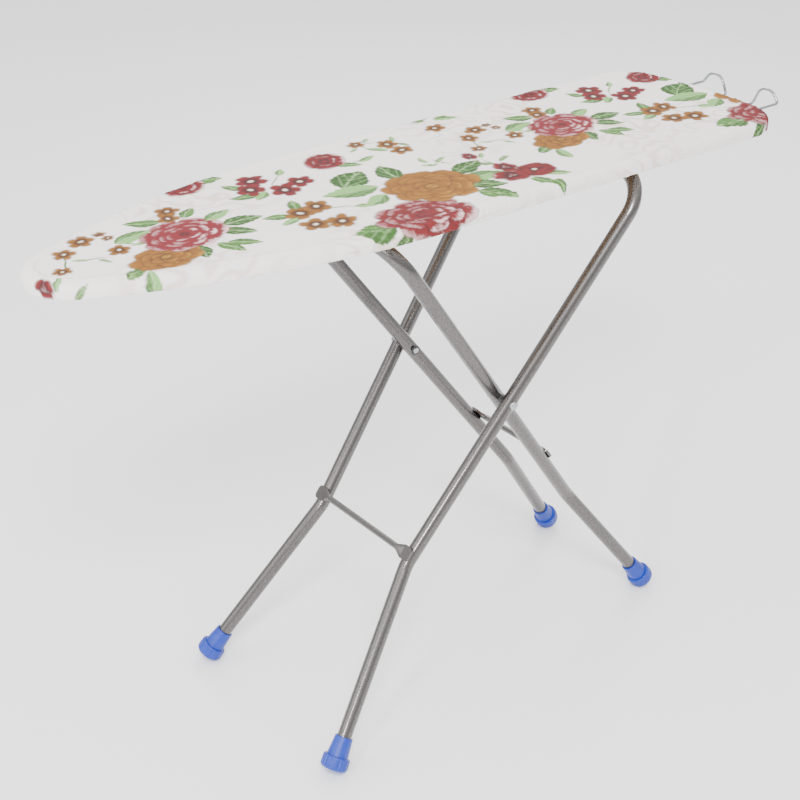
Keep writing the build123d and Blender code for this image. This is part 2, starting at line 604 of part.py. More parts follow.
def on_pivot(y, direction):
    """Plane on the pivot line, its Z along +Y or -Y."""
    return Plane((PIVOT_X, y, PIVOT_Z), x_dir=(1, 0, 0), z_dir=(0, direction, 0))


def outer_leg_rod(side):
    """Rod of the outer leg's size through the pivot, for hollowing what sits on the leg."""
    leg = Plane(outer.point(OUTER_PIVOT_FROM_BAR, side), z_dir=outer.direction(side, lower=False))
    return leg * Cylinder(TUBE_RADIUS, 2 * BOARD_WIDTH)


def pivot_spacer(side):
    """Nylon spacer between the legs, hollowed to sit on the outer one."""
    length = OUTER_PIVOT_Y - INNER_FACE_OUT
    spacer = on_pivot(side * INNER_FACE_OUT, side) * Cylinder(SPACER_RADIUS, length, align=UP)
    return spacer - outer_leg_rod(side) - rivet_axis(RIVET_DIAMETER / 2 + RIVET_FIT)


def pivot_washer(side):
    """Washer under the rivet's tail, on the inner leg's inside."""
    washer = on_pivot(side * WASHER_FACE, side) * Cylinder(WASHER_RADIUS, WASHER_THICKNESS, align=UP)
    return washer - rivet_axis(RIVET_DIAMETER / 2 + RIVET_FIT)


def rivet_end(y, direction, radius, height, rounding):
    """Round head standing on a seat, its free rim rounded."""
    head = on_pivot(y, direction) * Cylinder(radius, height, align=UP)
    rim = head.edges().sort_by(Axis.Y, reverse=direction > 0)[0]
    return fillet(rim, rounding)


def pivot_rivet(side):
    """Rivet with a domed head outside and a formed tail inside."""
    crest = OUTER_PIVOT_Y + TUBE_RADIUS
    seat = crest - CUT_SPARE
    head = rivet_end(
        side * seat, side, RIVET_HEAD_RADIUS, CUT_SPARE + RIVET_HEAD_HEIGHT, RIVET_HEAD_ROUNDING
    )
    tail = rivet_end(side * WASHER_FACE, -side, RIVET_TAIL_RADIUS, RIVET_TAIL_HEIGHT, RIVET_TAIL_ROUNDING)
    shank = on_pivot(side * WASHER_FACE, side) * Cylinder(
        RIVET_DIAMETER / 2, crest - WASHER_FACE, align=UP
    )
    return shank + (head - outer_leg_rod(side)) + tail


def build_nodes():
    """Every named piece of the ironing board."""
    nodes = {
        "board_panel": board_panel(),
        "padding": padding(),
        "cover": cover(),
        "hem_elastic": hem_elastic(),
        "height_rack": height_rack(),
        "rack_keeper": rack_keeper(),
        "iron_rest_wire": iron_rest_wire(),
        "outer_leg_frame": leg_frame(outer),
        "outer_crossbar": crossbar(outer),
        "inner_leg_frame": leg_frame(inner),
        "inner_crossbar": crossbar(inner),
    }
    for name, places in underside_screws().items():
        nodes[name] = Compound([screw(*place) for place in places])
    for name, side in SIDES.items():
        nodes[f"hinge_saddle_{name}"] = saddle(side)
        nodes[f"hinge_block_{name}"] = hinge_block(side)
        nodes[f"iron_rest_clip_{name}"] = iron_rest_clip(side)
        nodes[f"outer_foot_{name}"] = foot(outer, side)
        nodes[f"inner_foot_{name}"] = foot(inner, side)
        nodes[f"pivot_spacer_{name}"] = pivot_spacer(side)
        nodes[f"pivot_washer_{name}"] = pivot_washer(side)
        nodes[f"pivot_rivet_{name}"] = pivot_rivet(side)
    return nodes


os.makedirs("parts", exist_ok=True)
for node, shape in build_nodes().items():
    export_step(shape, f"parts/{node}.step")
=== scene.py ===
"""Looks of the ironing board: cover, padding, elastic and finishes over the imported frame."""

import logging
import math
from dataclasses import dataclass, field, replace
from enum import Enum
from typing import Callable, Sequence, Union

import bmesh
import bpy
import numpy as np
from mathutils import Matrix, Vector, noise


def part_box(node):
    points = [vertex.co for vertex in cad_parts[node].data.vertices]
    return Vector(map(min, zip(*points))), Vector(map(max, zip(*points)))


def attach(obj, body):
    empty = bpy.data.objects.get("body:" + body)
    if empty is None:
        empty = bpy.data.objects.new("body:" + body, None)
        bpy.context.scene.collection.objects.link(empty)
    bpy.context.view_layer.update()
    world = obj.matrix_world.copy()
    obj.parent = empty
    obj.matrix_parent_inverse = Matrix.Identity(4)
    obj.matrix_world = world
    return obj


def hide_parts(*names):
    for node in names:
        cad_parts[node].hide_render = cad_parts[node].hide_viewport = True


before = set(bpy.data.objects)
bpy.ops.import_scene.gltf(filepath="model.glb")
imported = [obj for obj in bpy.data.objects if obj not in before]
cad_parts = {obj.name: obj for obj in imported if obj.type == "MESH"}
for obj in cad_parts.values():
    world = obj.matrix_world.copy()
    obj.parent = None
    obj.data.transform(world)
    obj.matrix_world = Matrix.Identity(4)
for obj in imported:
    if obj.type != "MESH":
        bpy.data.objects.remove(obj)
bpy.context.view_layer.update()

logger = logging.getLogger("ironing_board")

Colour = tuple[float, float, float]
Point = tuple[float, float, float]


def srgb(red: int, green: int, blue: int) -> Colour:
    """Turns an 8-bit display colour into a linear one.

    Args:
        red: Red, 0 to 255.
        green: Green, 0 to 255.
        blue: Blue, 0 to 255.

    Returns:
        The linear colour.
    """

    def linear(channel: int) -> float:
        """Turns one channel linear."""
        share = channel / 255
        return share / 12.92 if share <= 0.04045 else ((share + 0.055) / 1.055) ** 2.4

    return linear(red), linear(green), linear(blue)


class Signal:
    """An output socket of a shader node, for use in expressions."""

    def __init__(self, recipe: "Recipe", socket: bpy.types.NodeSocket) -> None:
        """Keeps the recipe and the socket.

        Args:
            recipe: The recipe that new nodes are added to.
            socket: The output socket.
        """
        self.recipe = recipe
        self.socket = socket

    @property
    def kind(self) -> str:
        """VALUE, VECTOR or RGBA."""
        return self.socket.type

    def combine(self, operation: str, left: "Operand", right: "Operand") -> "Signal":
        """Adds the node that works out left operation right.

        Args:
            operation: The operation's name, such as ADD.
            left: The first operand.
            right: The second operand.

        Returns:
            The result.
        """
        kinds = {x.kind for x in (left, right) if isinstance(x, Signal)}
        if "RGBA" in kinds:
            return self.recipe.blend(1.0, left, right, operation)
        if "VECTOR" in kinds:
            return self.recipe.node(
                "ShaderNodeVectorMath",
                {"operation": operation},
                {0: self.recipe.spread(left), 1: self.recipe.spread(right)},
            )
        return self.recipe.node("ShaderNodeMath", {"operation": operation}, {0: left, 1: right})

    def __add__(self, other: "Operand") -> "Signal":
        """self + other."""
        return self.combine("ADD", self, other)

    def __radd__(self, other: "Operand") -> "Signal":
        """other + self."""
        return self.combine("ADD", other, self)

    def __sub__(self, other: "Operand") -> "Signal":
        """self - other."""
        return self.combine("SUBTRACT", self, other)

    def __rsub__(self, other: "Operand") -> "Signal":
        """other - self."""
        return self.combine("SUBTRACT", other, self)

    def __mul__(self, other: "Operand") -> "Signal":
        """self * other."""
        return self.combine("MULTIPLY", self, other)

    def __rmul__(self, other: "Operand") -> "Signal":
        """other * self."""
        return self.combine("MULTIPLY", other, self)

    def math(self, operation: str, *others: "Operand") -> "Signal":
        """Any other operation of the Math node.

        Args:
            operation: Its name, such as SINE or WRAP.
            others: The operands after this one.

        Returns:
            The result.
        """
        values = {0: self, **{i + 1: x for i, x in enumerate(others)}}
        return self.recipe.node("ShaderNodeMath", {"operation": operation}, values)

    def rise(self, low: float, high: float) -> "Signal":
        """A smooth step from 0 at low to 1 at high, or falling where low is above high.

        Args:
            low: The value that gives 0.
            high: The value that gives 1.

        Returns:
            The step.
        """
        if low > high:
            return self.recipe.map_range(self, high, low, 1.0, 0.0)
        return self.recipe.map_range(self, low, high, 0.0, 1.0)


Operand = Union[Signal, float, int, tuple]


class Recipe:
    """The node tree of one material."""

    def __init__(self, name: str) -> None:
        """Starts an empty material.

        Args:
            name: The material's name.
        """
        self.material = bpy.data.materials.new(name)
        self.material.use_nodes = True
        self.tree = self.material.node_tree
        self.tree.nodes.clear()

    def node(
        self,
        kind: str,
        settings: Union[dict, None] = None,
        values: Union[dict, None] = None,
        output: Union[int, str] = 0,
    ) -> Signal:
        """Adds a node.

        Args:
            kind: The node's type.
            settings: Its properties, set first; "stops" are a ramp's.
            values: Numbers or links of its input sockets, by name or number.
            output: The output socket that is wanted.

        Returns:
            That output.
        """
        made = self.tree.nodes.new(kind)
        for name, value in (settings or {}).items():
            if name == "stops":
                self.set_stops(made.color_ramp, value)
            else:
                setattr(made, name, value)
        for key, value in (values or {}).items():
            socket = made.inputs[key]
            if isinstance(value, Signal):
                self.tree.links.new(value.socket, socket)
            elif socket.type == "RGBA":
                socket.default_value = (*value[:3], 1.0)
            else:
                socket.default_value = value
        return Signal(self, made.outputs[output])

    @staticmethod
    def set_stops(ramp: bpy.types.ColorRamp, stops: Sequence[tuple[float, Colour]]) -> None:
        """Sets a ramp's stops.

        Args:
            ramp: The colour ramp.
            stops: Pairs of place and colour, in order.
        """
        while len(ramp.elements) < len(stops):
            ramp.elements.new(1.0)
        for element, (place, colour) in zip(ramp.elements, stops):
            element.position = place
            element.color = (*colour, 1.0)

    @staticmethod
    def spread(value: Operand) -> Operand:
        """A plain number as three equal ones, for Vector Math."""
        return (value, value, value) if isinstance(value, (int, float)) else value

    def blend(self, share: Operand, low: Operand, high: Operand, how: str = "MIX") -> Signal:
        """Mixes two colours.

        Args:
            share: 0 for low and 1 for high.
            low: The first colour.
            high: The second colour.
            how: The blend type.

        Returns:
            The colour.
        """
        return self.node(
            "ShaderNodeMix",
            {"data_type": "RGBA", "blend_type": how, "clamp_factor": True},
            {0: share, 6: self.spread(low), 7: self.spread(high)},
            output=2,
        )

    def map_range(
        self, value: Signal, low: float, high: float, start: float, end: float
    ) -> Signal:
        """Smoothly takes low to high to start to end.

        Args:
            value: What is mapped.
            low: The value that gives start.
            high: The value that gives end.
            start: The result at low.
            end: The result at high.

        Returns:
            The result.
        """
        return self.node(
            "ShaderNodeMapRange",
            {"interpolation_type": "SMOOTHSTEP"},
            {"Value": value, "From Min": low, "From Max": high, "To Min": start, "To Max": end},
        )

    def object_point(self) -> Signal:
        """The point in the object's own space."""
        return self.node("ShaderNodeTexCoord", output="Object")

    def noise(self, where: Signal, scale: float, detail: float = 3.0, rough: float = 0.5) -> Signal:
        """Soft noise around 0.5.

        Args:
            where: The coordinates.
            scale: Features for each unit.
            detail: Octaves.
            rough: Strength of each next octave.

        Returns:
            The noise's value.
        """
        values = {"Vector": where, "Scale": scale, "Detail": detail, "Roughness": rough}
        return self.node("ShaderNodeTexNoise", {}, values)

    def bump(
        self,
        height: Signal,
        distance: float,
        strength: float = 1.0,
        below: Union[Signal, None] = None,
    ) -> Signal:
        """A bumped normal.

        Args:
            height: The height, from 0 to 1.
            distance: What 1 stands for, in metres.
            strength: The bump's strength.
            below: Another normal to build on.

        Returns:
            The normal.
        """
        values = {"Strength": strength, "Distance": distance, "Height": height}
        if below is not None:
            values["Normal"] = below
        return self.node("ShaderNodeBump", {}, values)

    def surface(self, **sockets: Operand) -> bpy.types.Material:
        """Ends the recipe in a Principled shader.

        Args:
            sockets: The shader's sockets by name, with _ for a space.

        Returns:
            The material.
        """
        values = {name.replace("_", " "): value for name, value in sockets.items()}
        shader = self.node("ShaderNodeBsdfPrincipled", {}, values)
        self.node_output(shader)
        return self.material

    def node_output(self, shader: Signal) -> None:
        """Links the shader to the material's output."""
        made = self.tree.nodes.new("ShaderNodeOutputMaterial")
        self.tree.links.new(shader.socket, made.inputs["Surface"])


class Finish:
    """A finish that makes its material once, under its own label."""

    label: str

    def material(self) -> bpy.types.Material:
        """Makes the finish's material at the first call.

        Returns:
            The material.
        """
        found = bpy.data.materials.get(self.label)
        return found if found is not None else self.lay(Recipe(self.label))

    def lay(self, recipe: Recipe) -> bpy.types.Material:
        """Lays the finish's nodes.

        Args:
            recipe: The material's recipe.

        Returns:
            The material.
        """
        raise NotImplementedError


@dataclass(frozen=True)
class HammerPaint(Finish):
    """Silver-grey hammertone enamel of the tubes."""

    light: Colour = srgb(106, 103, 102)
    dark: Colour = srgb(62, 59, 58)
    pit: float = 0.0022
    depth: float = 0.00005
    label: str = "hammer_enamel"

    def lay(self, recipe: Recipe) -> bpy.types.Material:
        """Small round dimples with painted shade on their low rims, and bright metallic beds.

        Args:
            recipe: The material's recipe.

        Returns:
            The material.
        """
        place = recipe.object_point()
        bent = place + (recipe.noise(place, 260.0, 2.0) - 0.5) * 0.0012
        cell = recipe.node(
            "ShaderNodeTexVoronoi",
            {"feature": "SMOOTH_F1"},
            {"Vector": bent, "Scale": 1 / self.pit, "Smoothness": 0.35},
        )
        rim = cell.rise(0.30, 0.62)
        speck = recipe.noise(place, 1400.0, 2.0, 0.6).rise(0.42, 0.64)
        wear = recipe.noise(place, 22.0, 4.0, 0.6).rise(0.45, 0.72)
        # painted shade: the low rims between the dimples are darkened; the specks and the brownish wear are
        # the paint's own tone
        shade = recipe.blend(rim * 0.4, self.light, self.dark)
        shade = recipe.blend(speck * 0.25, shade, self.dark)
        shade = recipe.blend(wear * 0.12, shade, srgb(120, 104, 90))
        rough = 0.22 + rim * 0.08 + speck * 0.05
        height = (1.0 - rim) * 0.8 + recipe.noise(place, 500.0, 2.0) * 0.2
        return recipe.surface(
            Base_Color=shade,
            Metallic=0.88,
            Roughness=rough,
            Normal=recipe.bump(height, self.depth, 0.5),
            Coat_Weight=0.5,
            Coat_Roughness=0.1,
        )


@dataclass(frozen=True)
class PlatedSteel(Finish):
    """Zinc-plated or plain drawn steel."""

    tone: Colour = srgb(178, 180, 182)
    roughness: float = 0.27
    streak: float = 900.0
    label: str = "zinc_plate"

    def lay(self, recipe: Recipe) -> bpy.types.Material:
        """Cloudy plating with fine drawn lines and small stains.

        Args:
            recipe: The material's recipe.

        Returns:
            The material.
        """
        place = recipe.object_point()
        cloud = recipe.noise(place, 70.0, 4.0, 0.6)
        fine = recipe.noise(place, self.streak, 3.0, 0.7)
        stain = recipe.noise(place, 180.0, 5.0, 0.7).rise(0.58, 0.72)
        shade = recipe.blend(cloud.rise(0.35, 0.65) * 0.4, self.tone, srgb(146, 150, 156))
        shade = recipe.blend(stain * 0.3, shade, srgb(112, 108, 104))
        rough = self.roughness - 0.05 + cloud * 0.1 + stain * 0.15
        return recipe.surface(
            Base_Color=shade,
            Metallic=1.0,
            Roughness=rough,
            Normal=recipe.bump(fine, 0.00003, 0.6),
        )


@dataclass(frozen=True)
class MouldedPlastic(Finish):
    """Moulded plastic with a fine spark-eroded grain."""

    tone: Colour = srgb(14, 46, 152)
    worn: Colour = srgb(44, 78, 176)
    roughness: float = 0.36
    grain: float = 1500.0
    label: str = "blue_foot_plastic"

    def lay(self, recipe: Recipe) -> bpy.types.Material:
        """Even colour with scuffs, flow marks and a fine grain.

        Args:
            recipe: The material's recipe.

        Returns:
            The material.
        """
        place = recipe.object_point()
        grain = recipe.noise(place, self.grain, 2.0, 0.5)
        flow = recipe.noise(place, 60.0, 3.0, 0.5)
        scuff = recipe.noise(place, 320.0, 5.0, 0.75).rise(0.6, 0.74)
        shade = recipe.blend(flow.rise(0.3, 0.7) * 0.25, self.tone, self.worn)
        shade = recipe.blend(scuff * 0.35, shade, self.worn)
        rough = self.roughness + scuff * 0.2 + grain * 0.06
        return recipe.surface(
            Base_Color=shade,
            Roughness=rough,
            Normal=recipe.bump(grain * 0.6 + flow * 0.4, 0.00005, 0.7),
            Subsurface_Weight=0.05,
            Subsurface_Radius=(0.001, 0.001, 0.002),
        )


@dataclass(frozen=True)
class ParticleBoard(Finish):
    """Pressed wood chips of the panel."""

    light: Colour = srgb(205, 172, 128)
    dark: Colour = srgb(142, 104, 66)
    label: str = "chip_board"

    def lay(self, recipe: Recipe) -> bpy.types.Material:
        """Chips of mixed tone, pressed flat, with fine pores.

        Args:
            recipe: The material's recipe.

        Returns:
            The material.
        """
        place = recipe.object_point()
        chip = recipe.node(
            "ShaderNodeTexVoronoi",
            {"feature": "F1"},
            {"Vector": place + recipe.noise(place, 140.0, 3.0) * 0.006, "Scale": 210.0},
            output="Color",
        )
        tone = recipe.node("ShaderNodeSeparateColor", {}, {"Color": chip}, output=0)
        pore = recipe.noise(place, 900.0, 3.0, 0.7)
        shade = recipe.blend(tone, self.light, self.dark)
        shade = recipe.blend(pore.rise(0.5, 0.75) * 0.5, shade, srgb(96, 66, 40))
        height = tone * 0.5 + pore * 0.5
        return recipe.surface(
            Base_Color=shade,
            Roughness=0.72 + pore * 0.12,
            Normal=recipe.bump(height, 0.0002, 0.7),
        )


@dataclass(frozen=True)
class NeedledFelt(Finish):
    """Grey-white needled felt of the padding."""

    tone: Colour = srgb(214, 210, 200)
    label: str = "needled_felt"

    def lay(self, recipe: Recipe) -> bpy.types.Material:
        """Matted fibres with darker shoddy flecks.

        Args:
            recipe: The material's recipe.

        Returns:
            The material.
        """
        place = recipe.object_point()
        fibre = recipe.noise(place, 700.0, 5.0, 0.75)
        fleck = recipe.noise(place, 420.0, 4.0, 0.8).rise(0.6, 0.66)
        shade = recipe.blend(fibre.rise(0.35, 0.7) * 0.5, self.tone, srgb(178, 172, 160))
        shade = recipe.blend(fleck * 0.4, shade, srgb(110, 112, 124))
        return recipe.surface(
            Base_Color=shade,
            Roughness=0.92 + fibre * 0.05,
            Sheen_Weight=0.3,
            Normal=recipe.bump(fibre, 0.0006, 0.8),
        )


@dataclass(frozen=True)
class BraidedElastic(Finish):
    """White braided elastic band."""

    tone: Colour = srgb(228, 226, 220)
    label: str = "braided_elastic"

    def lay(self, recipe: Recipe) -> bpy.types.Material:
        """Cords along the band, crossed by a fine braid, with painted shade where they are low.

        Args:
            recipe: The material's recipe.

        Returns:
            The material.
        """
        place = recipe.node("ShaderNodeAttribute", {"attribute_name": "flat_cut"}, output="Vector")
        parts = recipe.node("ShaderNodeSeparateXYZ", {}, {0: place})
        across = Signal(recipe, parts.socket.node.outputs[1])
        cord = (across * 5200.0).math("SINE")
        braid = (parts * 3600.0 + across * 2600.0).math("SINE")
        height = cord * 0.35 + braid * 0.15 + 0.5
        # painted shade: the colour darkens where the cords and braid are low
        shade = recipe.blend(height, srgb(170, 168, 160), self.tone)
        return recipe.surface(
            Base_Color=shade,
            Roughness=0.75 + braid * 0.05,
            Normal=recipe.bump(height, 0.0002, 0.8),
        )


@dataclass(frozen=True)
class PaleFloor(Finish):
    """Plain pale studio floor."""

    tone: Colour = (0.93, 0.93, 0.93)
    label: str = "pale_sweep"

    def lay(self, recipe: Recipe) -> bpy.types.Material:
        """A matt sweep with the least of mottling.

        Args:
            recipe: The material's recipe.

        Returns:
            The material.
        """
        place = recipe.object_point()
        mottle = recipe.noise(place, 3.0, 2.0)
        shade = recipe.blend(mottle * 0.06, self.tone, (0.88, 0.88, 0.88))
        return recipe.surface(Base_Color=shade, Roughness=0.85 + mottle * 0.05)


def dye(red: int, green: int, blue: int, strength: float = 0.52) -> Colour:
    """The linear colour of a dye on white cotton, deeper than its swatch.

    Args:
        red: Red of the swatch, 0 to 255.
        green: Green of the swatch.
        blue: Blue of the swatch.
        strength: The share of light that the dyed threads return.

    Returns:
        The linear colour.
    """
    return tuple(channel * strength for channel in srgb(red, green, blue))


class Ink(Enum):
    """The print's colours."""

    GROUND = srgb(246, 241, 238)
    SWIRL = srgb(218, 198, 188)
    DEEP_RED = dye(84, 2, 14)
    RED = dye(164, 6, 24, 0.42)
    ROSE = dye(170, 14, 40, 0.42)
    BLUSH = srgb(246, 206, 210)
    CREAM = srgb(246, 236, 214)
    OCHRE = dye(182, 114, 4, 0.48)
    BROWN = dye(92, 46, 4)
    GOLD = dye(206, 144, 30, 0.6)
    LEAF_LIGHT = dye(142, 200, 112, 0.72)
    LEAF = dye(84, 146, 46)
    LEAF_DARK = dye(50, 104, 24)
    VEIN = dye(190, 220, 160, 0.85)


@dataclass(frozen=True)
class Palette:
    """Inks of one kind of flower, from its rim to its eye."""

    rim: Ink
    body: Ink
    shade: Ink
    eye: Ink


class Bloom(Enum):
    """Kinds of flower."""

    PEONY = Palette(Ink.BLUSH, Ink.ROSE, Ink.RED, Ink.DEEP_RED)
    CRIMSON = Palette(Ink.BLUSH, Ink.RED, Ink.DEEP_RED, Ink.ROSE)
    OCHRE_ROSE = Palette(Ink.GOLD, Ink.OCHRE, Ink.BROWN, Ink.GOLD)
    OCHRE_STAR = Palette(Ink.GOLD, Ink.OCHRE, Ink.BROWN, Ink.CREAM)
    RED_STAR = Palette(Ink.ROSE, Ink.RED, Ink.DEEP_RED, Ink.CREAM)


@dataclass(frozen=True)
class Motif:
    """A mark of the print: its place on the flat cover, in millimetres, its half sizes and turn."""

    x: float
    y: float
    half_long: float
    half_wide: float
    turn: float = 0.0
    again: bool = True


@dataclass(frozen=True)
class Flower(Motif):
    """A flower: its kind and the number of petals in a ring."""

    bloom: Bloom = Bloom.OCHRE_STAR
    petals: int = 5
    rings: int = 1
    tips: float = 0.8


@dataclass(frozen=True)
class Leaf(Motif):
    """A leaf or, long and thin, a stem: its ink and how far it bends."""

    ink: Ink = Ink.LEAF
    bend: float = 0.0


def star(x: float, y: float, radius: float, bloom: Bloom = Bloom.OCHRE_STAR, turn: float = 20) -> Flower:
    """A small five-petalled flower."""
    return Flower(x, y, radius, radius * 0.86, turn, bloom=bloom)


def leaf(x: float, y: float, long: float, wide: float, turn: float, ink: Ink = Ink.LEAF) -> Leaf:
    """A leaf of that whole length and width."""
    return Leaf(x, y, long / 2, wide / 2, turn, x < 5, ink, 0.15)


def stem(x: float, y: float, long: float, turn: float, bend: float = 0.3) -> Leaf:
    """A thin stem."""
    return Leaf(x, y, long / 2, 1.6, turn, x < 5, Ink.LEAF, bend)


PRINT: tuple[Motif, ...] = (
    stem(-580, -68, 58, 95),
    leaf(-590, -62, 30, 10, 130),
    leaf(-555, -62, 30, 9, 20),
    leaf(-568, -36, 22, 9, 50, Ink.LEAF_LIGHT),
    Flower(-583, -30, 13, 10, 80, True, Bloom.CRIMSON, 3),
    stem(-535, 5, 75, 70),
    stem(-505, -4, 46, -20),
    leaf(-521, 3, 24, 7, 150, Ink.LEAF_LIGHT),
    leaf(-498, -16, 22, 7, -60),
    leaf(-441, 3, 34, 9, 170, Ink.LEAF_LIGHT),
    leaf(-455, 18, 26, 8, 120, Ink.LEAF_LIGHT),
    star(-495, 50, 17),
    star(-527, 28, 15, turn=50),
    star(-550, -13, 12, turn=10),
    star(-472, 2, 15, turn=35),
    star(-468, 57, 8),
    star(-466, 41, 8),
    leaf(-487, -67, 38, 20, 20),
    leaf(-482, -92, 42, 18, 75, Ink.LEAF_LIGHT),
    leaf(-413, 55, 46, 24, 150),
    leaf(-440, 27, 56, 26, 12, Ink.LEAF_LIGHT),
    leaf(-353, 52, 34, 18, 40),
    leaf(-330, 23, 46, 22, 20, Ink.LEAF_LIGHT),
    leaf(-314, -8, 54, 28, -5, Ink.LEAF_DARK),
    leaf(-335, -33, 46, 24, -40, Ink.LEAF_DARK),
    leaf(-367, -68, 42, 20, -70),
    leaf(-348, -66, 42, 20, -35),
    leaf(-400, -60, 44, 24, -100, Ink.LEAF_DARK),
    star(-370, 70, 16),
    star(-380, 50, 16, turn=60),
    Flower(-440, -48, 45, 31, 8, True, Bloom.OCHRE_ROSE, 7, 3),
    Flower(-390, -3, 54, 42, 10, True, Bloom.PEONY, 8, 4),
    leaf(-278, 130, 44, 22, -10),
    Flower(-317, 127, 32, 26, 0, True, Bloom.CRIMSON, 6, 2),
    leaf(-273, 52, 40, 18, 165),
    leaf(-252, 43, 34, 16, -140, Ink.LEAF_LIGHT),
    leaf(-267, 88, 34, 16, 120),
    stem(-205, 80, 62, 40),
    leaf(-188, 98, 26, 12, 50, Ink.LEAF_LIGHT),
    star(-235, 93, 22, Bloom.RED_STAR, 10),
    star(-252, 68, 21, Bloom.RED_STAR, 45),
    star(-218, 42, 22, Bloom.RED_STAR, 70),
    star(-187, 55, 20, Bloom.RED_STAR, 25),
    leaf(-240, -8, 38, 18, 70),
    leaf(-277, -27, 40, 18, 160),
    leaf(-272, -48, 36, 16, -160, Ink.LEAF_LIGHT),
    stem(-195, -50, 66, -25),
    leaf(-172, -60, 28, 12, -20, Ink.LEAF_LIGHT),
    star(-248, -33, 21),
    star(-220, -27, 20, turn=60),
    star(-253, -73, 20, turn=5),
    star(-223, -83, 21, turn=40),
    stem(-85, 68, 40, 0),
    leaf(-103, 66, 40, 18, -30),
    leaf(-70, 70, 34, 14, 15, Ink.LEAF_LIGHT),
    Flower(-120, 96, 30, 25, 30, True, Bloom.CRIMSON, 5, 2),
    leaf(-133, 20, 66, 50, 35, Ink.LEAF_DARK),
    leaf(-158, -14, 78, 38, 170, Ink.LEAF_LIGHT),
    leaf(-80, 12, 56, 34, 80, Ink.LEAF_DARK),
    leaf(-150, -57, 46, 26, -150, Ink.LEAF_LIGHT),
    leaf(-213, -135, 56, 44, 175),
    leaf(12, -35, 62, 34, 20, Ink.LEAF_DARK),
    leaf(12, -72, 62, 32, -15, Ink.LEAF_LIGHT),
    leaf(-7, -98, 52, 30, -30, Ink.LEAF_DARK),
    leaf(-18, -130, 56, 34, -60),
    leaf(-190, -170, 40, 22, -140, Ink.LEAF_DARK),
    Flower(-133, -128, 66, 46, -5, True, Bloom.CRIMSON, 8, 4),
    Flower(-67, -60, 66, 52, -15, True, Bloom.OCHRE_ROSE, 8, 4),
    stem(-45, 105, 50, 100),
    stem(-36, 116, 46, -15),
    leaf(-29, 128, 22, 8, 40),
    leaf(-66, 106, 22, 7, 200, Ink.LEAF_LIGHT),
    leaf(2, 84, 22, 8, -60),
    leaf(4, 112, 24, 8, 70, Ink.LEAF_LIGHT),
    stem(-2, 2, 44, 110),
    leaf(-18, 20, 26, 9, 80, Ink.LEAF_LIGHT),
    leaf(2, 8, 28, 9, 25, Ink.LEAF_LIGHT),
    leaf(-22, 0, 26, 9, 160, Ink.LEAF_LIGHT),
    star(-50, 122, 13),
    star(-15, 98, 17, turn=50),
    star(-13, 68, 17),
    leaf(-38, 90, 34, 14, 130, Ink.LEAF_LIGHT),
    star(78, 110, 16),
    leaf(57, -135, 46, 20, -70),
    leaf(90, -123, 40, 18, -30, Ink.LEAF_LIGHT),
    leaf(67, -152, 36, 16, -80),
    Flower(37, -93, 25, 19, 170, False, Bloom.CRIMSON, 3),
    Flower(74, -96, 29, 22, 0, False, Bloom.RED_STAR, 4, 2),
    Flower(50, -66, 19, 15, 90, False, Bloom.CRIMSON, 3),
    leaf(83, 150, 40, 18, 20),
    leaf(117, 134, 40, 18, -20, Ink.LEAF_LIGHT),
)


def smooth(values: np.ndarray, low: float, high: float) -> np.ndarray:
    """A smooth step from 0 at low to 1 at high, or falling where low is above high.

    Args:
        values: What is stepped.
        low: The value that gives 0.
        high: The value that gives 1.

    Returns:
        The steps.
    """
    share = np.clip((values - low) / (high - low), 0.0, 1.0)
    return share * share * (3.0 - 2.0 * share)


def soft_noise(places: np.ndarray, scale: float, seed: float) -> np.ndarray:
    """Smooth noise from about -1 to 1 at each place.

    Args:
        places: Points in metres, one a row.
        scale: Features for each metre.
        seed: Picks the pattern.

    Returns:
        The noise.
    """
    found = [noise.noise(Vector((x * scale, y * scale, seed))) for x, y in places[:, :2]]
    return np.array(found)


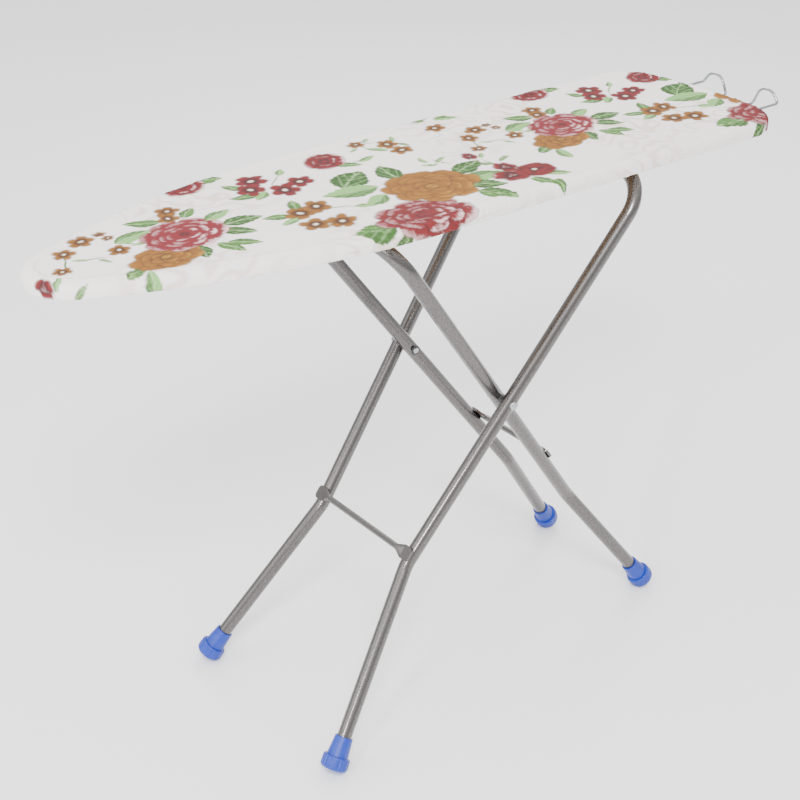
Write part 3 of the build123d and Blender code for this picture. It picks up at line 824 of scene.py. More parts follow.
@dataclass
class FloralPrint:
    """The cover's print, painted motif by motif on the flat-cut coordinates."""

    repeat: float = 612.0
    skew: Point = (-0.13, -0.02, -0.043)
    bleed: float = 1.1
    seed: float = 3.0

    def paint(self, flat: np.ndarray) -> np.ndarray:
        """The print's colour at each point of the flat cut.

        Args:
            flat: The points, in metres, one a row.

        Returns:
            Their linear colours, one a row.
        """
        self.wash = soft_noise(flat, 150.0, self.seed) * 0.6 + soft_noise(flat, 420.0, self.seed) * 0.4
        drift = [soft_noise(flat, 60.0, self.seed + k) * 2.2 for k in (5.0, 9.0)]
        self.along = flat[:, 0] * 1000 + drift[0]
        self.across = flat[:, 1] * 1000 + drift[1]
        self.colour = self.ground(flat)
        again = [self.next_one(motif) for motif in PRINT if motif.again]
        for motif in (*again, *PRINT):
            if isinstance(motif, Flower):
                self.flower(motif)
            elif isinstance(motif, Leaf):
                self.leaf(motif)
        return self.colour

    def next_one(self, motif: Motif) -> Motif:
        """The same motif in the next repeat, where the cloth was pulled a little askew.

        Args:
            motif: The motif in the first repeat.

        Returns:
            The motif in the second.
        """
        x = motif.x + self.repeat + self.skew[0] * motif.y + self.skew[1] * (motif.x + 250)
        return replace(motif, x=x, y=motif.y + 5 + self.skew[2] * (motif.x + 150))

    def ground(self, flat: np.ndarray) -> np.ndarray:
        """The pale ground with its faint, large rose shadows.

        Args:
            flat: The points, in metres.

        Returns:
            The ground's colours.
        """
        curl = soft_noise(flat, 16.0, self.seed + 20) + 0.4 * soft_noise(flat, 40.0, self.seed + 21)
        line = smooth(np.sin(curl * 15.0), 0.1, 0.95)
        patch = smooth(soft_noise(flat, 6.5, self.seed + 30), -0.1, 0.3)
        share = np.clip(line * patch * 0.62 + self.wash * 0.05 + 0.05, 0, 1)[:, None]
        return np.array(Ink.GROUND.value) * (1 - share) + np.array(Ink.SWIRL.value) * share

    def local(self, motif: Motif) -> tuple[np.ndarray, np.ndarray, np.ndarray]:
        """The points near a motif and their places in it.

        Args:
            motif: The motif.

        Returns:
            Their indices, and how far along and across they are, 1 at its half sizes.
        """
        x, y = self.along - motif.x, self.across - motif.y
        near = np.flatnonzero(np.hypot(x, y) < 1.25 * max(motif.half_long, motif.half_wide))
        c, s = math.cos(math.radians(motif.turn)), math.sin(math.radians(motif.turn))
        x, y = x[near], y[near]
        return near, (x * c + y * s) / motif.half_long, (y * c - x * s) / motif.half_wide

    def lay(self, near: np.ndarray, share: np.ndarray, tone: np.ndarray) -> None:
        """Mixes a tone into the colour so far.

        Args:
            near: The points' indices.
            share: How much of the tone shows at each.
            tone: The tone, one for all or one a row.
        """
        part = np.clip(share, 0, 1)[:, None]
        self.colour[near] = self.colour[near] * (1 - part) + tone * part

    def leaf(self, leaf: Leaf) -> None:
        """Paints a leaf: a dark half, a light half, a pale midrib and side veins.

        Args:
            leaf: The leaf.
        """
        near, u, v = self.local(leaf)
        v = v + (u * u - 0.4) * leaf.bend * leaf.half_long / leaf.half_wide * 0.5
        span = np.clip(1.0 - u * u, 0, 1) ** 0.85 * (1.0 - 0.25 * u)
        side = np.abs(v)
        mask = smooth((span - side) * leaf.half_wide, 0.0, self.bleed)
        if leaf.half_wide < 3:
            self.lay(near, mask, np.array(leaf.ink.value))
            return
        saw = 0.03 * np.sin(u * 22.0)
        mask = smooth((span - side + saw) * leaf.half_wide, 0.0, self.bleed)
        wash = self.wash[near]
        light, dark = np.array(Ink.LEAF_LIGHT.value), np.array(Ink.LEAF_DARK.value)
        half = smooth(v, -0.35, 0.4)[:, None]
        tone = np.array(leaf.ink.value) * (1 - half * 0.75) + dark * half * 0.75
        glow = np.clip(smooth(wash - side * 0.3, -0.15, 0.4) * 0.6, 0, 1)[:, None]
        tone = tone * (1 - glow) + light * glow
        ribs = (smooth(np.sin((side * 1.3 - u) * 9.0), 0.7, 1.0) * 0.28)[:, None]
        tone = tone * (1 - ribs) + np.array(Ink.VEIN.value) * ribs
        vein = (smooth(side * leaf.half_wide, 1.2, 0.4) * 0.6)[:, None]
        tone = tone * (1 - vein) + np.array(Ink.VEIN.value) * vein
        self.lay(near, mask, tone)

    def petal(
        self,
        flower: Flower,
        inks: Palette,
        angle: float,
        away: float,
        long: float,
        wide: float,
        tip: float,
    ) -> None:
        """Paints one petal over what is there.

        Args:
            flower: The flower that it belongs to.
            inks: The flower's inks.
            angle: Its direction from the flower's middle.
            away: How far out its middle lies, as a share of the flower's half sizes.
            long: Its half length along that direction, as a share.
            wide: Its half width, as a share.
            tip: How much of its rim is pale.
        """
        near, u, v = self.local(flower)
        c, s = math.cos(angle), math.sin(angle)
        p, q = (u * c + v * s - away) / long, (v * c - u * s) / wide
        ruffle = 0.05 * np.sin(q * 4.0 + angle * 7.0) + self.wash[near] * 0.05
        reach = np.sqrt(np.abs(p) ** 2.4 + np.abs(q) ** 2.4)
        edge = (1.0 + ruffle - reach) * flower.half_wide * min(long, wide)
        self.lay(near, smooth(edge, -2.2, 0.4) * 0.6, np.array(inks.shade.value))
        body, shade, rim = (np.array(i.value) for i in (inks.body, inks.shade, inks.rim))
        deep = smooth(p + 0.25 * np.abs(q), 0.35, -0.6)[:, None]
        tone = body * (1 - deep) + shade * deep
        fold = smooth(np.sin(q * 11.0 + self.wash[near] * 3.0), 0.5, 1.0)
        line = (fold * smooth(p, 0.7, -0.4) * 0.4)[:, None]
        tone = tone * (1 - line) + shade * line
        tip *= 0.35 + 0.65 * max(0.0, math.cos(angle + 0.9))
        pale = (smooth(p + self.wash[near] * 0.5, 0.5, 0.85) * tip)[:, None]
        tone = tone * (1 - pale) + rim * pale
        self.lay(near, smooth(edge, 0.0, self.bleed), tone)

    def flower(self, flower: Flower) -> None:
        """Paints a flower, its petals from the outer ring inwards.

        Args:
            flower: The flower.
        """
        inks = flower.bloom.value
        if flower.rings == 1:
            for k in range(flower.petals):
                angle = 2 * math.pi * k / flower.petals + flower.x * 0.1
                self.petal(flower, inks, angle, 0.58, 0.46, 2.0 / flower.petals, 0.45)
        for ring in range(flower.rings if flower.rings > 1 else 0):
            share = ring / flower.rings
            petals = max(3, flower.petals - ring)
            away = 0.66 * (1 - share) ** 1.1
            size = 0.36 - 0.14 * share
            for k in range(petals):
                odd = math.sin(k * 12.9898 + ring * 78.233 + flower.x) * 0.5
                angle = 2 * math.pi * (k + 0.37 * ring) / petals + odd * 0.35
                wide = (3.6 / petals) * (away + 0.12) * (1.0 + 0.15 * odd)
                self.petal(flower, inks, angle, away, size * (1 + 0.18 * odd), wide, flower.tips)
        near, u, v = self.local(flower)
        reach = np.hypot(u, v)
        size = 0.14 if flower.rings == 1 else 0.10
        self.lay(near, smooth(reach, size * 1.7, size * 0.8) * 0.9, np.array(inks.eye.value))
        dots = smooth(np.sin(u * 34.0) * np.sin(v * 34.0), 0.1, 0.7) * smooth(reach, size * 1.5, size * 0.7)
        self.lay(near, dots * 0.8, np.array(inks.shade.value))


@dataclass(frozen=True)
class PrintedCotton(Finish):
    """Plain-weave cotton that carries the print."""

    thread: float = 0.00042
    label: str = "printed_cotton"

    def lay(self, recipe: Recipe) -> bpy.types.Material:
        """Weaves the threads over the print, with painted shade between them, and adds soft creases.

        Args:
            recipe: The material's recipe.

        Returns:
            The material.
        """
        flat = recipe.node("ShaderNodeAttribute", {"attribute_name": "flat_cut"}, output="Vector")
        colour = recipe.node("ShaderNodeAttribute", {"attribute_name": "print"}, output="Color")
        parts = recipe.node("ShaderNodeSeparateXYZ", {}, {0: flat})
        across = Signal(recipe, parts.socket.node.outputs[1])
        turn = 2 * math.pi / self.thread
        warp = (parts * turn).math("SINE")
        weft = (across * turn).math("SINE")
        slub = recipe.noise(flat, 1200.0, 2.0, 0.6)
        thread = warp * weft * 0.5 + 0.5
        crease = recipe.noise(flat, 38.0, 3.0, 0.55)
        # painted shade where the weave is low between the threads; the slubs' darker tone is the yarn's own
        shade = recipe.blend((1.0 - thread) * 0.06 + slub * 0.05, colour, (0.5, 0.48, 0.46))
        woven = recipe.bump(thread * 0.7 + slub * 0.3, 0.00006, 0.6)
        creased = recipe.bump(crease, 0.0012, 0.4, woven)
        return recipe.surface(
            Base_Color=shade,
            Roughness=slub * 0.1 + 0.8,
            Specular_IOR_Level=0.12,
            Normal=creased,
        )


@dataclass(frozen=True)
class OutlinePoint:
    """A point of the board's outline with its outward direction and how tightly it turns."""

    x: float
    y: float
    out_x: float
    out_y: float
    curve: float


@dataclass
class BoardOutline:
    """The board seen from above: a round nose, long tapering arcs, straight sides and a blunt end."""

    nose_x: float
    end_x: float
    half_width: float
    nose_radius: float = 0.060
    side_from_nose: float = 0.478
    corner_radius: float = 0.068
    end_radius: float = 0.700
    step: float = 0.0048

    def arc(self, cx: float, cy: float, radius: float, start: float, end: float) -> list[OutlinePoint]:
        """Points of an arc, without its last.

        Args:
            cx: The centre's x.
            cy: The centre's y.
            radius: The radius.
            start: The first angle.
            end: The last angle.

        Returns:
            The points.
        """
        count = max(2, round(radius * abs(end - start) / self.step))
        points = []
        for i in range(count):
            angle = start + (end - start) * i / count
            c, s = math.cos(angle), math.sin(angle)
            points.append(OutlinePoint(cx + radius * c, cy + radius * s, c, s, 1 / radius))
        return points

    def points(self) -> list[OutlinePoint]:
        """The whole outline, counter-clockwise from the middle of the wide end.

        Returns:
            Its points.
        """
        tip, side = self.nose_x + self.nose_radius, self.nose_x + self.side_from_nose
        run, wide = side - tip, self.half_width
        taper = (run**2 + wide**2 - self.nose_radius**2) / (2 * (wide - self.nose_radius))
        lean = math.atan2(run, taper - wide)
        bulge_x = self.end_x - self.end_radius
        corner_y = wide - self.corner_radius
        corner_x = bulge_x + math.sqrt((self.end_radius - self.corner_radius) ** 2 - corner_y**2)
        slant = math.atan2(corner_y, corner_x - bulge_x)
        half = self.arc(bulge_x, 0.0, self.end_radius, 0.0, slant)
        half += self.arc(corner_x, corner_y, self.corner_radius, slant, math.pi / 2)
        count = round((corner_x - side) / self.step)
        for i in range(count):
            half.append(OutlinePoint(corner_x + (side - corner_x) * i / count, wide, 0.0, 1.0, 0.0))
        half += self.arc(side, wide - taper, taper, math.pi / 2, math.pi / 2 + lean)
        half += self.arc(tip, 0.0, self.nose_radius, math.pi / 2 + lean, math.pi)
        nose = OutlinePoint(self.nose_x, 0.0, -1.0, 0.0, 1 / self.nose_radius)
        other = [OutlinePoint(p.x, -p.y, p.out_x, -p.out_y, p.curve) for p in reversed(half[1:])]
        return half + [nose] + other


@dataclass
class Ring:
    """A line round the board: how far inside the outline, how high, and its distance on the flat cut."""

    inset: float
    height: float
    flat: float


class Skin:
    """A mesh of rings that follow the board's outline."""

    def __init__(self, name: str, outline: Sequence[OutlinePoint]) -> None:
        """Starts an empty skin.

        Args:
            name: The piece's name.
            outline: The outline's points.
        """
        self.name = name
        self.outline = outline
        self.low_x = min(p.x for p in outline)
        self.high_x = max(p.x for p in outline)
        self.points: list[Point] = []
        self.flat: list[Point] = []
        self.faces: list[tuple[int, ...]] = []
        self.rows: list[int] = []

    def middle(self, point: OutlinePoint, reach: float = 0.052) -> tuple[float, float]:
        """The point of the board's middle line that a place on the outline runs in to.

        Args:
            point: The place on the outline.
            reach: How far the middle line stops short of either end.

        Returns:
            Its x and y.
        """
        return min(max(point.x, self.low_x + reach), self.high_x - reach * 2.2), 0.0

    def add(self, ring: Ring, lift: Callable[[int, OutlinePoint], tuple[float, float]]) -> None:
        """Adds a ring.

        Args:
            ring: Where it runs.
            lift: Gives the extra distance outwards and upwards at a column.
        """
        self.rows.append(len(self.points))
        for i, p in enumerate(self.outline):
            out, up = lift(i, p)
            away = out - ring.inset
            self.points.append((p.x + p.out_x * away, p.y + p.out_y * away, ring.height + up))
            self.flat.append((p.x + p.out_x * ring.flat, p.y + p.out_y * ring.flat, 0.0))

    def add_inner(self, share: float, height: float, inset: float) -> None:
        """Adds a ring of the flat middle.

        Args:
            share: 0 at the inset ring and 1 at the middle line.
            height: Its height.
            inset: Where the flat middle starts.
        """
        self.rows.append(len(self.points))
        for p in self.outline:
            mx, my = self.middle(p)
            x = (p.x - p.out_x * inset) * (1 - share) + mx * share
            y = (p.y - p.out_y * inset) * (1 - share) + my * share
            self.points.append((x, y, height))
            self.flat.append((x, y, 0.0))

    def join(self, closed: bool = False) -> bpy.types.Object:
        """Makes the faces between the rings and the object.

        Args:
            closed: True to join the last ring to the first.

        Returns:
            The object, in the scene.
        """
        count = len(self.outline)
        pairs = list(zip(self.rows, self.rows[1:]))
        if closed:
            pairs.append((self.rows[-1], self.rows[0]))
        for low, high in pairs:
            for i in range(count):
                j = (i + 1) % count
                self.faces.append((low + i, low + j, high + j, high + i))
        mesh = bpy.data.meshes.new(self.name)
        mesh.from_pydata(self.points, [], self.faces)
        attribute = mesh.attributes.new("flat_cut", "FLOAT_VECTOR", "POINT")
        attribute.data.foreach_set("vector", [c for point in self.flat for c in point])
        made = bpy.data.objects.new(self.name, mesh)
        bpy.context.scene.collection.objects.link(made)
        return made


def tidy_mesh(piece: bpy.types.Object, merge: float = 0.00005) -> None:
    """Merges doubled points, turns the faces outwards and shades them smooth.

    Args:
        piece: The piece.
        merge: Points this near each other become one.
    """
    made = bmesh.new()
    made.from_mesh(piece.data)
    bmesh.ops.remove_doubles(made, verts=made.verts, dist=merge)
    bmesh.ops.dissolve_degenerate(made, edges=made.edges, dist=merge)
    bmesh.ops.recalc_face_normals(made, faces=made.faces)
    made.to_mesh(piece.data)
    made.free()
    for face in piece.data.polygons:
        face.use_smooth = True


def apply_modifiers(piece: bpy.types.Object) -> None:
    """Applies the piece's modifiers to its mesh.

    Args:
        piece: The piece.
    """
    graph = bpy.context.evaluated_depsgraph_get()
    shown = bpy.data.meshes.new_from_object(
        piece.evaluated_get(graph), preserve_all_data_layers=True, depsgraph=graph
    )
    piece.modifiers.clear()
    piece.data = shown


@dataclass
class BoardTop:
    """The board's soft top: cotton cover, needled pad and the elastic in the hem."""

    outline: BoardOutline
    top: float
    bottom: float
    edge_radius: float = 0.0078
    low_radius: float = 0.0022
    hem_width: float = 0.030
    channel: float = 0.009
    cloth: float = 0.0008
    felt: float = 0.0050
    flat_from: float = 0.034
    middle_reach: float = 0.052
    wrap: float = 0.048
    cut_share: float = 0.86
    band_inset: float = 0.003
    band_width: float = 0.006
    panel_edge: float = 0.0062
    frames: int = 14
    most_slide: float = 0.0012
    most_sink: float = 0.0002
    most_rise: float = 0.0014
    split: int = 3
    inner_rows: int = 76
    seed: int = 11
    body: str = "board"
    finish: PrintedCotton = field(default_factory=PrintedCotton)
    artwork: FloralPrint = field(default_factory=FloralPrint)

    def gather(self, index: int, point: OutlinePoint) -> float:
        """How strongly the cloth gathers at a column, from about -1 to 1.

        Args:
            index: The column.
            point: Its place on the outline; not used.

        Returns:
            The wave's height there.
        """
        place = index * self.outline.step
        drift = noise.noise(Vector((place * 9.0, self.seed, 0.3))) * 5.0
        wave = math.sin(place * 2 * math.pi / 0.0165 + drift * 2.2)
        odd = noise.noise(Vector((place * 61.0, 4.0, self.seed)))
        return 0.65 * wave + 0.7 * odd

    def fullness(self, point: OutlinePoint) -> float:
        """Spare cloth at a column, in metres: most round the nose and the corners."""
        return 0.0004 + 0.0021 * min(1.0, point.curve * self.outline.nose_radius)

    def cover_rings(self) -> list[tuple[Ring, float, float]]:
        """The cover's rings from the flat top round to the hem's turned edge.

        Returns:
            Each ring with its share of the gathers outwards and upwards.
        """
        r, low, z = self.edge_radius, self.low_radius, self.top
        rings: list[tuple[Ring, float, float]] = []
        start = -r
        for inset in (0.034, 0.031, 0.028, 0.025, 0.022, 0.0195, 0.017, 0.0145, 0.012, 0.0095):
            rings.append((Ring(inset, z, -inset), 0.0, 0.0))
        for i in range(8):
            angle = math.pi / 2 * i / 7
            inset, height = r - r * math.sin(angle), z - r + r * math.cos(angle)
            rings.append((Ring(inset, height, start + r * angle), 0.10 * i / 7, 0.0))
        flat = start + r * math.pi / 2
        drop = (z - r) - (self.bottom + low)
        for i in range(1, 5):
            share = i / 4
            side = Ring(0.0, z - r - drop * share, flat + drop * share)
            rings.append((side, 0.1 + 0.2 * share, 0.0))
        flat += drop
        for i in range(1, 5):
            angle = math.pi / 2 * i / 4
            inset = low - low * math.cos(angle)
            height = self.bottom + low - low * math.sin(angle)
            rings.append((Ring(inset, height, flat + low * angle), 0.3 * (1 - i / 4), -0.25 * i / 4))
        flat += low * math.pi / 2
        run = self.hem_width - low
        for i in range(1, 8):
            share = i / 7
            turned = Ring(low + run * share, self.bottom, flat + run * share)
            rings.append((turned, 0.0, -0.25 - 0.75 * share))
        flat += run
        lift = self.cloth + 0.0004
        for inset, up in ((self.hem_width, lift), (self.hem_width - self.channel, lift)):
            rings.append((Ring(inset, self.bottom + up, flat + up), 0.0, -0.9))
            flat += self.channel
        return rings

    def build_border(self) -> bpy.types.Object:
        """The cover from the flat top's border round to the hem, gathered under the panel.

        Returns:
            The border, one ring of points after another.
        """
        skin = Skin("cover_border", self.outline.points())
        for ring, out, up in self.cover_rings():

            def lift(
                index: int, point: OutlinePoint, out: float = out, up: float = up
            ) -> tuple[float, float]:
                """The gathers at a column of this ring."""
                wave, full = self.gather(index, point), self.fullness(point)
                return out * full * (wave - 0.6) * 0.8, up * full * (wave + 1.0)

            skin.add(ring, lift)
        border = skin.join()
        if border.data.polygons[0].normal.z < 0:
            border.data.flip_normals()
        return border

    def finer(self, rows: np.ndarray) -> np.ndarray:
        """Rings with more columns, on smooth curves through the old ones.

        Args:
            rows: Points by ring and column.

        Returns:
            The points with split times the columns.
        """
        before, after, beyond = (np.roll(rows, k, axis=1) for k in (1, -1, -2))
        parts = []
        for k in range(self.split):
            t = k / self.split
            parts.append(
                0.5
                * (
                    2 * rows
                    + (after - before) * t
                    + (2 * before - 5 * rows + 4 * after - beyond) * t**2
                    + (3 * rows - before - 3 * after + beyond) * t**3
                )
            )
        return np.stack(parts, axis=2).reshape(len(rows), -1, 3)

    def build_cover(self) -> bpy.types.Object:
        """The cover as one sheet, settled, dense enough for its print, and painted.

        Returns:
            The cover.
        """
        border = self.build_border()
        self.settle_cover(border)
        count = len(self.outline.points())
        shape = np.array([v.co for v in border.data.vertices]).reshape(-1, count, 3)
        read = np.array([d.vector for d in border.data.attributes["flat_cut"].data]).reshape(-1, count, 3)
        bpy.data.objects.remove(border)
        shape, read = self.finer(shape), self.finer(read)
        shape[0, :, 2] = self.top
        low = self.outline.nose_x + self.middle_reach
        high = self.outline.end_x - self.middle_reach * 2.2
        goal = np.zeros((shape.shape[1], 3))
        goal[:, 0] = np.clip(shape[0, :, 0], low, high)
        goal[:, 2] = self.top
        shares = np.linspace(0.985, 0.0, self.inner_rows, endpoint=False)[:, None, None]
        inner = shape[0] * (1 - shares) + goal * shares
        level = inner * (1, 1, 0)
        return self.mesh_of(np.concatenate([inner, shape]), np.concatenate([level, read]))

    def mesh_of(self, shape: np.ndarray, flat: np.ndarray) -> bpy.types.Object:
        """The cover's mesh with its flat-cut coordinates and print.

        Args:
            shape: Points by ring and column, from the middle line out.
            flat: The same points on the flat cut.

        Returns:
            The cover.
        """
        rows, n = shape.shape[:2]
        first = np.arange(rows - 1)[:, None] * n
        i = np.arange(n)[None, :]
        j = (i + 1) % n
        quads = np.stack([first + i, first + j, first + n + j, first + n + i], 2).reshape(-1, 4)
        k = np.arange(1, n // 2 - 1)
        seam = np.stack([k, n - k, n - k - 1, k + 1], 1)
        ends = [(0, n - 1, 1), (n // 2 - 1, n // 2 + 1, n // 2)]
        faces = [tuple(map(int, face)) for face in np.concatenate([quads, seam])] + ends
        mesh = bpy.data.meshes.new("cotton_cover")
        mesh.from_pydata(shape.reshape(-1, 3).tolist(), [], faces)
        points = flat.reshape(-1, 3)
        cut = mesh.attributes.new("flat_cut", "FLOAT_VECTOR", "POINT")
        cut.data.foreach_set("vector", points.ravel())
        ink = mesh.attributes.new("print", "FLOAT_COLOR", "POINT")
        painted = np.concatenate([self.artwork.paint(points), np.ones((len(points), 1))], 1)
        ink.data.foreach_set("color", painted.ravel())
        mesh.shade_smooth()
        made = bmesh.new()
        made.from_mesh(mesh)
        bmesh.ops.recalc_face_normals(made, faces=made.faces)
        made.to_mesh(mesh)
        made.free()
        if mesh.polygons[0].normal.z < 0:
            mesh.flip_normals()
        cover = bpy.data.objects.new("cotton_cover", mesh)
        bpy.context.scene.collection.objects.link(cover)
        return cover

    def settle_cover(self, cover: bpy.types.Object) -> None:
        """Lets the cloth between the flat top and the hem's elastic settle over the pad.

        Args:
            cover: The cover, changed in place.
        """
        core = self.build_core()
        held = cover.vertex_groups.new(name="held")
        free = cover.vertex_groups.new(name="free")
        inner_hem = self.bottom + self.low_radius
        for vertex in cover.data.vertices:
            x, y, z = vertex.co
            on_top = z > self.top - 0.0002
            deep = self.depth(x, y)
            stay = on_top and deep > 0.016 or z < inner_hem and deep > self.hem_width - 0.008
            held.add([vertex.index], 1.0 if stay else 0.02, "REPLACE")
            free.add([vertex.index], 0.0 if stay else 1.0, "REPLACE")
        cloth = cover.modifiers.new("settle", "CLOTH")
        cloth.settings.quality = 4
        cloth.settings.mass = 0.12
        cloth.settings.tension_stiffness = 12.0
        cloth.settings.compression_stiffness = 12.0
        cloth.settings.shear_stiffness = 4.0
        cloth.settings.bending_stiffness = 0.4
        cloth.settings.vertex_group_mass = "held"
        cloth.settings.vertex_group_shrink = "free"
        cloth.settings.shrink_min = 0.0
        cloth.settings.shrink_max = -0.035
        cloth.settings.effector_weights.gravity = 0.1
        cloth.collision_settings.collision_quality = 3
        cloth.collision_settings.distance_min = 0.0006
        cloth.point_cache.frame_start = 1
        cloth.point_cache.frame_end = self.frames
        scene = bpy.context.scene
        for number in range(1, self.frames + 1):
            scene.frame_set(number)
        rest = [(vertex.co.copy(), vertex.normal.copy()) for vertex in cover.data.vertices]
        apply_modifiers(cover)
        for vertex, (start, normal) in zip(cover.data.vertices, rest):
            move = vertex.co - start
            out = move.dot(normal)
            slide = move - normal * out
            slide *= min(1.0, self.most_slide / max(slide.length, 1e-9))
            vertex.co = start + slide + normal * min(max(out, -self.most_sink), self.most_rise)
        scene.frame_set(1)
        bpy.data.objects.remove(core)

    def depth(self, x: float, y: float) -> float:
        """How far a place on the top is inside the outline.

        Args:
            x: Its x.
            y: Its y.

        Returns:
            The distance.
        """
        o = self.outline
        tip, side = o.nose_x + o.nose_radius, o.nose_x + o.side_from_nose
        run, wide = side - tip, o.half_width
        taper = (run**2 + wide**2 - o.nose_radius**2) / (2 * (wide - o.nose_radius))
        lean = math.atan2(run, taper - wide)
        near_y = abs(y)
        if x < tip - o.nose_radius * math.sin(lean) * near_y / max(near_y, 0.05):
            return o.nose_radius - math.hypot(x - tip, near_y)
        if x < side:
            return taper - math.hypot(x - side, near_y - (wide - taper))
        bulge_x = o.end_x - o.end_radius
        end = o.end_radius - math.hypot(x - bulge_x, near_y)
        corner_y = wide - o.corner_radius
        corner_x = bulge_x + math.sqrt((o.end_radius - o.corner_radius) ** 2 - corner_y**2)
        if x > corner_x and near_y > corner_y:
            return min(end, o.corner_radius - math.hypot(x - corner_x, near_y - corner_y))
        return min(end, wide - near_y)

    def build_core(self) -> bpy.types.Object:
        """A closed body inside the cover for the cloth to rest on.

        Returns:
            The body, which is removed afterwards.
        """
        skin = Skin("settling_core", self.outline.points())
        top, low, r = self.top - self.cloth, self.bottom + self.cloth, self.edge_radius - 0.001

        def still(index: int, point: OutlinePoint) -> tuple[float, float]:
            """No gathers."""
            return 0.0, 0.0

        skin.add_inner(0.97, top, self.flat_from)
        skin.add(Ring(self.flat_from, top, 0.0), still)
        for i in range(5):
            angle = math.pi / 2 * i / 4
            skin.add(Ring(0.001 + r - r * math.sin(angle), top - r + r * math.cos(angle), 0.0), still)
        skin.add(Ring(0.001, low + 0.001, 0.0), still)
        skin.add(Ring(0.002, low, 0.0), still)
        skin.add(Ring(self.flat_from, low, 0.0), still)
        skin.add_inner(0.97, low, self.flat_from)
        core = skin.join(closed=True)
        tidy_mesh(core)
        core.modifiers.new("firm", "COLLISION")
        core.collision.thickness_outer = 0.0005
        core.collision.cloth_friction = 12.0
        return core

    def build_padding(self) -> bpy.types.Object:
        """The needled pad, which lies on the panel and falls beside its edge.

        Returns:
            The pad.
        """
        skin = Skin("needled_pad", self.outline.points())
        top = self.top - self.cloth - 0.0004
        under = top - self.felt + 0.0002
        r, inner = self.edge_radius - self.cloth, self.panel_edge

        def matted(index: int, point: OutlinePoint) -> tuple[float, float]:
            """The felt's uneven thickness."""
            rough = noise.noise(Vector((point.x * 90, point.y * 90, self.seed)))
            return rough * 0.00025, rough * 0.00015

        skin.add_inner(0.97, under, self.flat_from)
        skin.add(Ring(self.flat_from, under, 0.0), matted)
        skin.add(Ring(inner, under, 0.0), matted)
        skin.add(Ring(inner, self.bottom + 0.0022, 0.0), matted)
        skin.add(Ring(0.0014, self.bottom + 0.0026, 0.0), matted)
        for i in range(6):
            angle = math.pi / 2 * i / 5
            inset = 0.0014 + r - r * math.cos(angle)
            skin.add(Ring(inset, top - r + r * math.sin(angle), 0.0), matted)
        skin.add(Ring(self.flat_from, top, 0.0), matted)
        skin.add_inner(0.97, top, self.flat_from)
        pad = skin.join(closed=True)
        tidy_mesh(pad)
        return pad

    def build_elastic(self) -> bpy.types.Object:
        """The elastic band in the hem's channel, drawn in round the nose and corners.

        Returns:
            The band.
        """
        low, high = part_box("hem_elastic")
        skin = Skin("gathered_elastic", self.outline.points())
        inner = self.hem_width - self.band_inset
        outer = inner - self.band_width
        across = ((outer, 0.0), (inner, 0.0), (inner, 1.0), (outer, 1.0))
        thick = high.z - low.z
        for inset, side in across:

            def lift(index: int, point: OutlinePoint) -> tuple[float, float]:
                """The band's small waves."""
                return 0.0, 0.00005 * self.gather(index, point)

            skin.add(Ring(inset, low.z + thick * side, -inset + side * 0.0005), lift)
        band = skin.join(closed=True)
        tidy_mesh(band)
        return band

    def build(self) -> None:
        """Builds and dresses the cover, pad and elastic."""
        cover = self.build_cover()
        cover.data.materials.append(self.finish.material())
        pad, band = self.build_padding(), self.build_elastic()
        pad.data.materials.append(NeedledFelt().material())
        band.data.materials.append(BraidedElastic().material())
        rows = (
            (cover, "cover", "cover_fabric"),
            (pad, "padding", "padding_felt"),
            (band, "hem_elastic", "elastic"),
        )
        for piece, node, slot in rows:
            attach(piece, self.body)
            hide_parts(node)
            logger.info("built %s with %d faces", piece.name, len(piece.data.polygons))


@dataclass
class Hardware:
    """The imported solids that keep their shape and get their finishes."""

    finishes: dict[str, Finish]

    def dress(self) -> None:
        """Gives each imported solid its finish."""
        for name, finish in self.finishes.items():
            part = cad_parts[name]
            part.data.materials.clear()
            part.data.materials.append(finish.material())
            logger.info("dressed %s in %s", name, type(finish).__name__)

    @classmethod
    def of_board(cls) -> "Hardware":
        """The ironing board's solids with their finishes.

        Returns:
            The hardware.
        """
        paint = HammerPaint()
        zinc = PlatedSteel()
        wire = PlatedSteel(srgb(158, 160, 162), 0.22, 1400.0, "bright_wire")
        blue = MouldedPlastic()
        nylon = MouldedPlastic(srgb(38, 38, 40), srgb(70, 70, 72), 0.42, 1100.0, "black_nylon")
        finishes: dict[str, Finish] = {"board_panel": ParticleBoard()}
        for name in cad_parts:
            if name in ("padding", "cover", "hem_elastic", "board_panel"):
                continue
            if "leg_frame" in name or "crossbar" in name:
                finishes[name] = paint
            elif "foot" in name:
                finishes[name] = blue
            elif name == "iron_rest_wire":
                finishes[name] = wire
            elif "block" in name or "spacer" in name or "washer" in name:
                finishes[name] = nylon
            else:
                finishes[name] = zinc
        return cls(finishes)


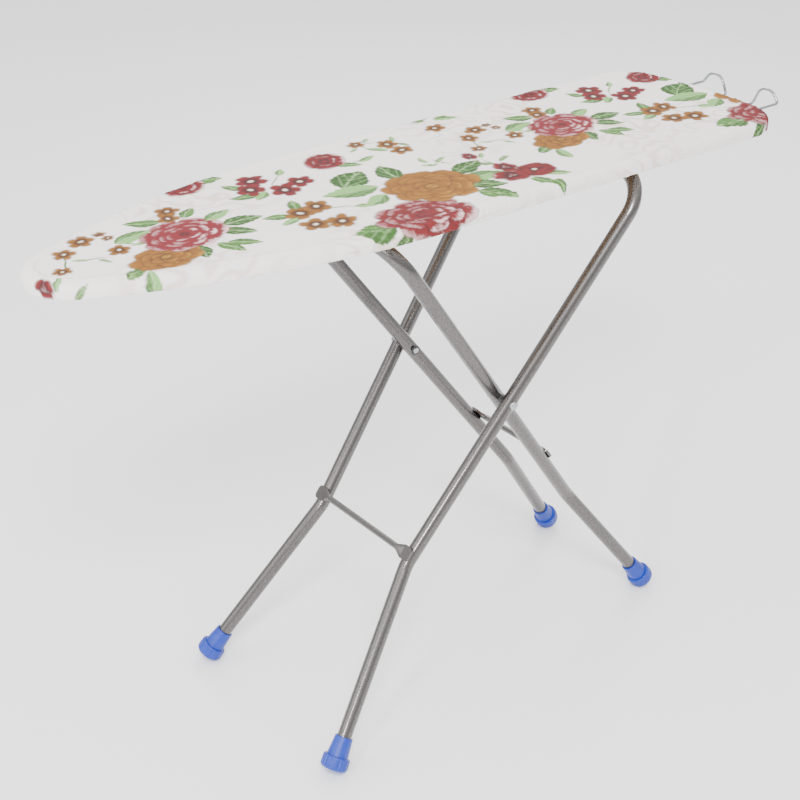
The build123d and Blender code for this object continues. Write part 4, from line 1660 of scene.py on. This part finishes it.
@dataclass
class Studio:
    """A pale floor, soft lamps and the camera."""

    eye: Point = (-1.1947, -1.4187, 1.4194)
    tilt: Point = (61.2614, 0.0, -38.3965)
    lens: float = 67.586

    def lamp(self, name: str, place: Point, aim: Point, size: float, power: float) -> None:
        """Adds a soft area lamp.

        Args:
            name: Its name.
            place: Where it stands.
            aim: What it points at.
            size: Its width.
            power: Its power in watts.
        """
        data = bpy.data.lights.new(name, "AREA")
        data.shape, data.size, data.energy = "SQUARE", size, power
        made = bpy.data.objects.new(name, data)
        made.location = place
        made.rotation_euler = (Vector(aim) - Vector(place)).to_track_quat("-Z", "Y").to_euler()
        bpy.context.scene.collection.objects.link(made)

    @staticmethod
    def light_world(tree: bpy.types.NodeTree) -> None:
        """A soft tent of light, bright overhead and dim near the floor.

        Args:
            tree: The world's node tree.
        """
        place = tree.nodes.new("ShaderNodeTexCoord")
        parts = tree.nodes.new("ShaderNodeSeparateXYZ")
        ramp = tree.nodes.new("ShaderNodeValToRGB")
        low, middle, high = (0.42, 0.42, 0.43), (0.5, 0.5, 0.51), (1.0, 1.0, 1.0)
        Recipe.set_stops(ramp.color_ramp, ((0.0, low), (0.2, middle), (0.75, high)))
        tree.links.new(place.outputs["Generated"], parts.inputs[0])
        tree.links.new(parts.outputs[2], ramp.inputs[0])
        tree.links.new(ramp.outputs[0], tree.nodes["Background"].inputs["Color"])
        tree.nodes["Background"].inputs["Strength"].default_value = 1.9

    def build(self) -> None:
        """Builds the floor, lamps, world and camera."""
        floor = bpy.data.meshes.new("floor")
        made = bmesh.new()
        bmesh.ops.create_grid(made, x_segments=8, y_segments=8, size=12.0)
        made.to_mesh(floor)
        made.free()
        ground = bpy.data.objects.new("floor", floor)
        bpy.context.scene.collection.objects.link(ground)
        floor.materials.append(PaleFloor().material())
        world = bpy.data.worlds.new("studio")
        world.use_nodes = True
        self.light_world(world.node_tree)
        bpy.context.scene.world = world
        self.lamp("key", (-1.6, -2.2, 3.2), (0.0, 0.0, 0.5), 0.9, 140.0)
        self.lamp("strip", (-2.6, -1.2, 1.5), (0.0, 0.0, 0.3), 0.35, 42.0)
        self.lamp("fill", (-3.0, 0.8, 1.6), (0.0, 0.0, 0.4), 2.2, 30.0)
        self.lamp("rim", (1.8, 1.8, 2.4), (0.0, 0.0, 0.4), 1.2, 40.0)
        view = bpy.data.cameras.new("camera")
        view.lens, view.sensor_width = self.lens, 36.0
        camera = bpy.data.objects.new("camera", view)
        camera.location = self.eye
        camera.rotation_euler = tuple(math.radians(a) for a in self.tilt)
        bpy.context.scene.collection.objects.link(camera)
        bpy.context.scene.camera = camera
        logger.info("set the studio")


def main() -> None:
    """Builds the studio, the board's soft top and the hardware."""
    logging.basicConfig(level=logging.INFO)
    Studio().build()
    low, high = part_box("cover")
    outline = BoardOutline(low.x, high.x, high.y)
    BoardTop(outline, high.z, low.z).build()
    Hardware.of_board().dress()


if __name__ == "__main__":
    main()
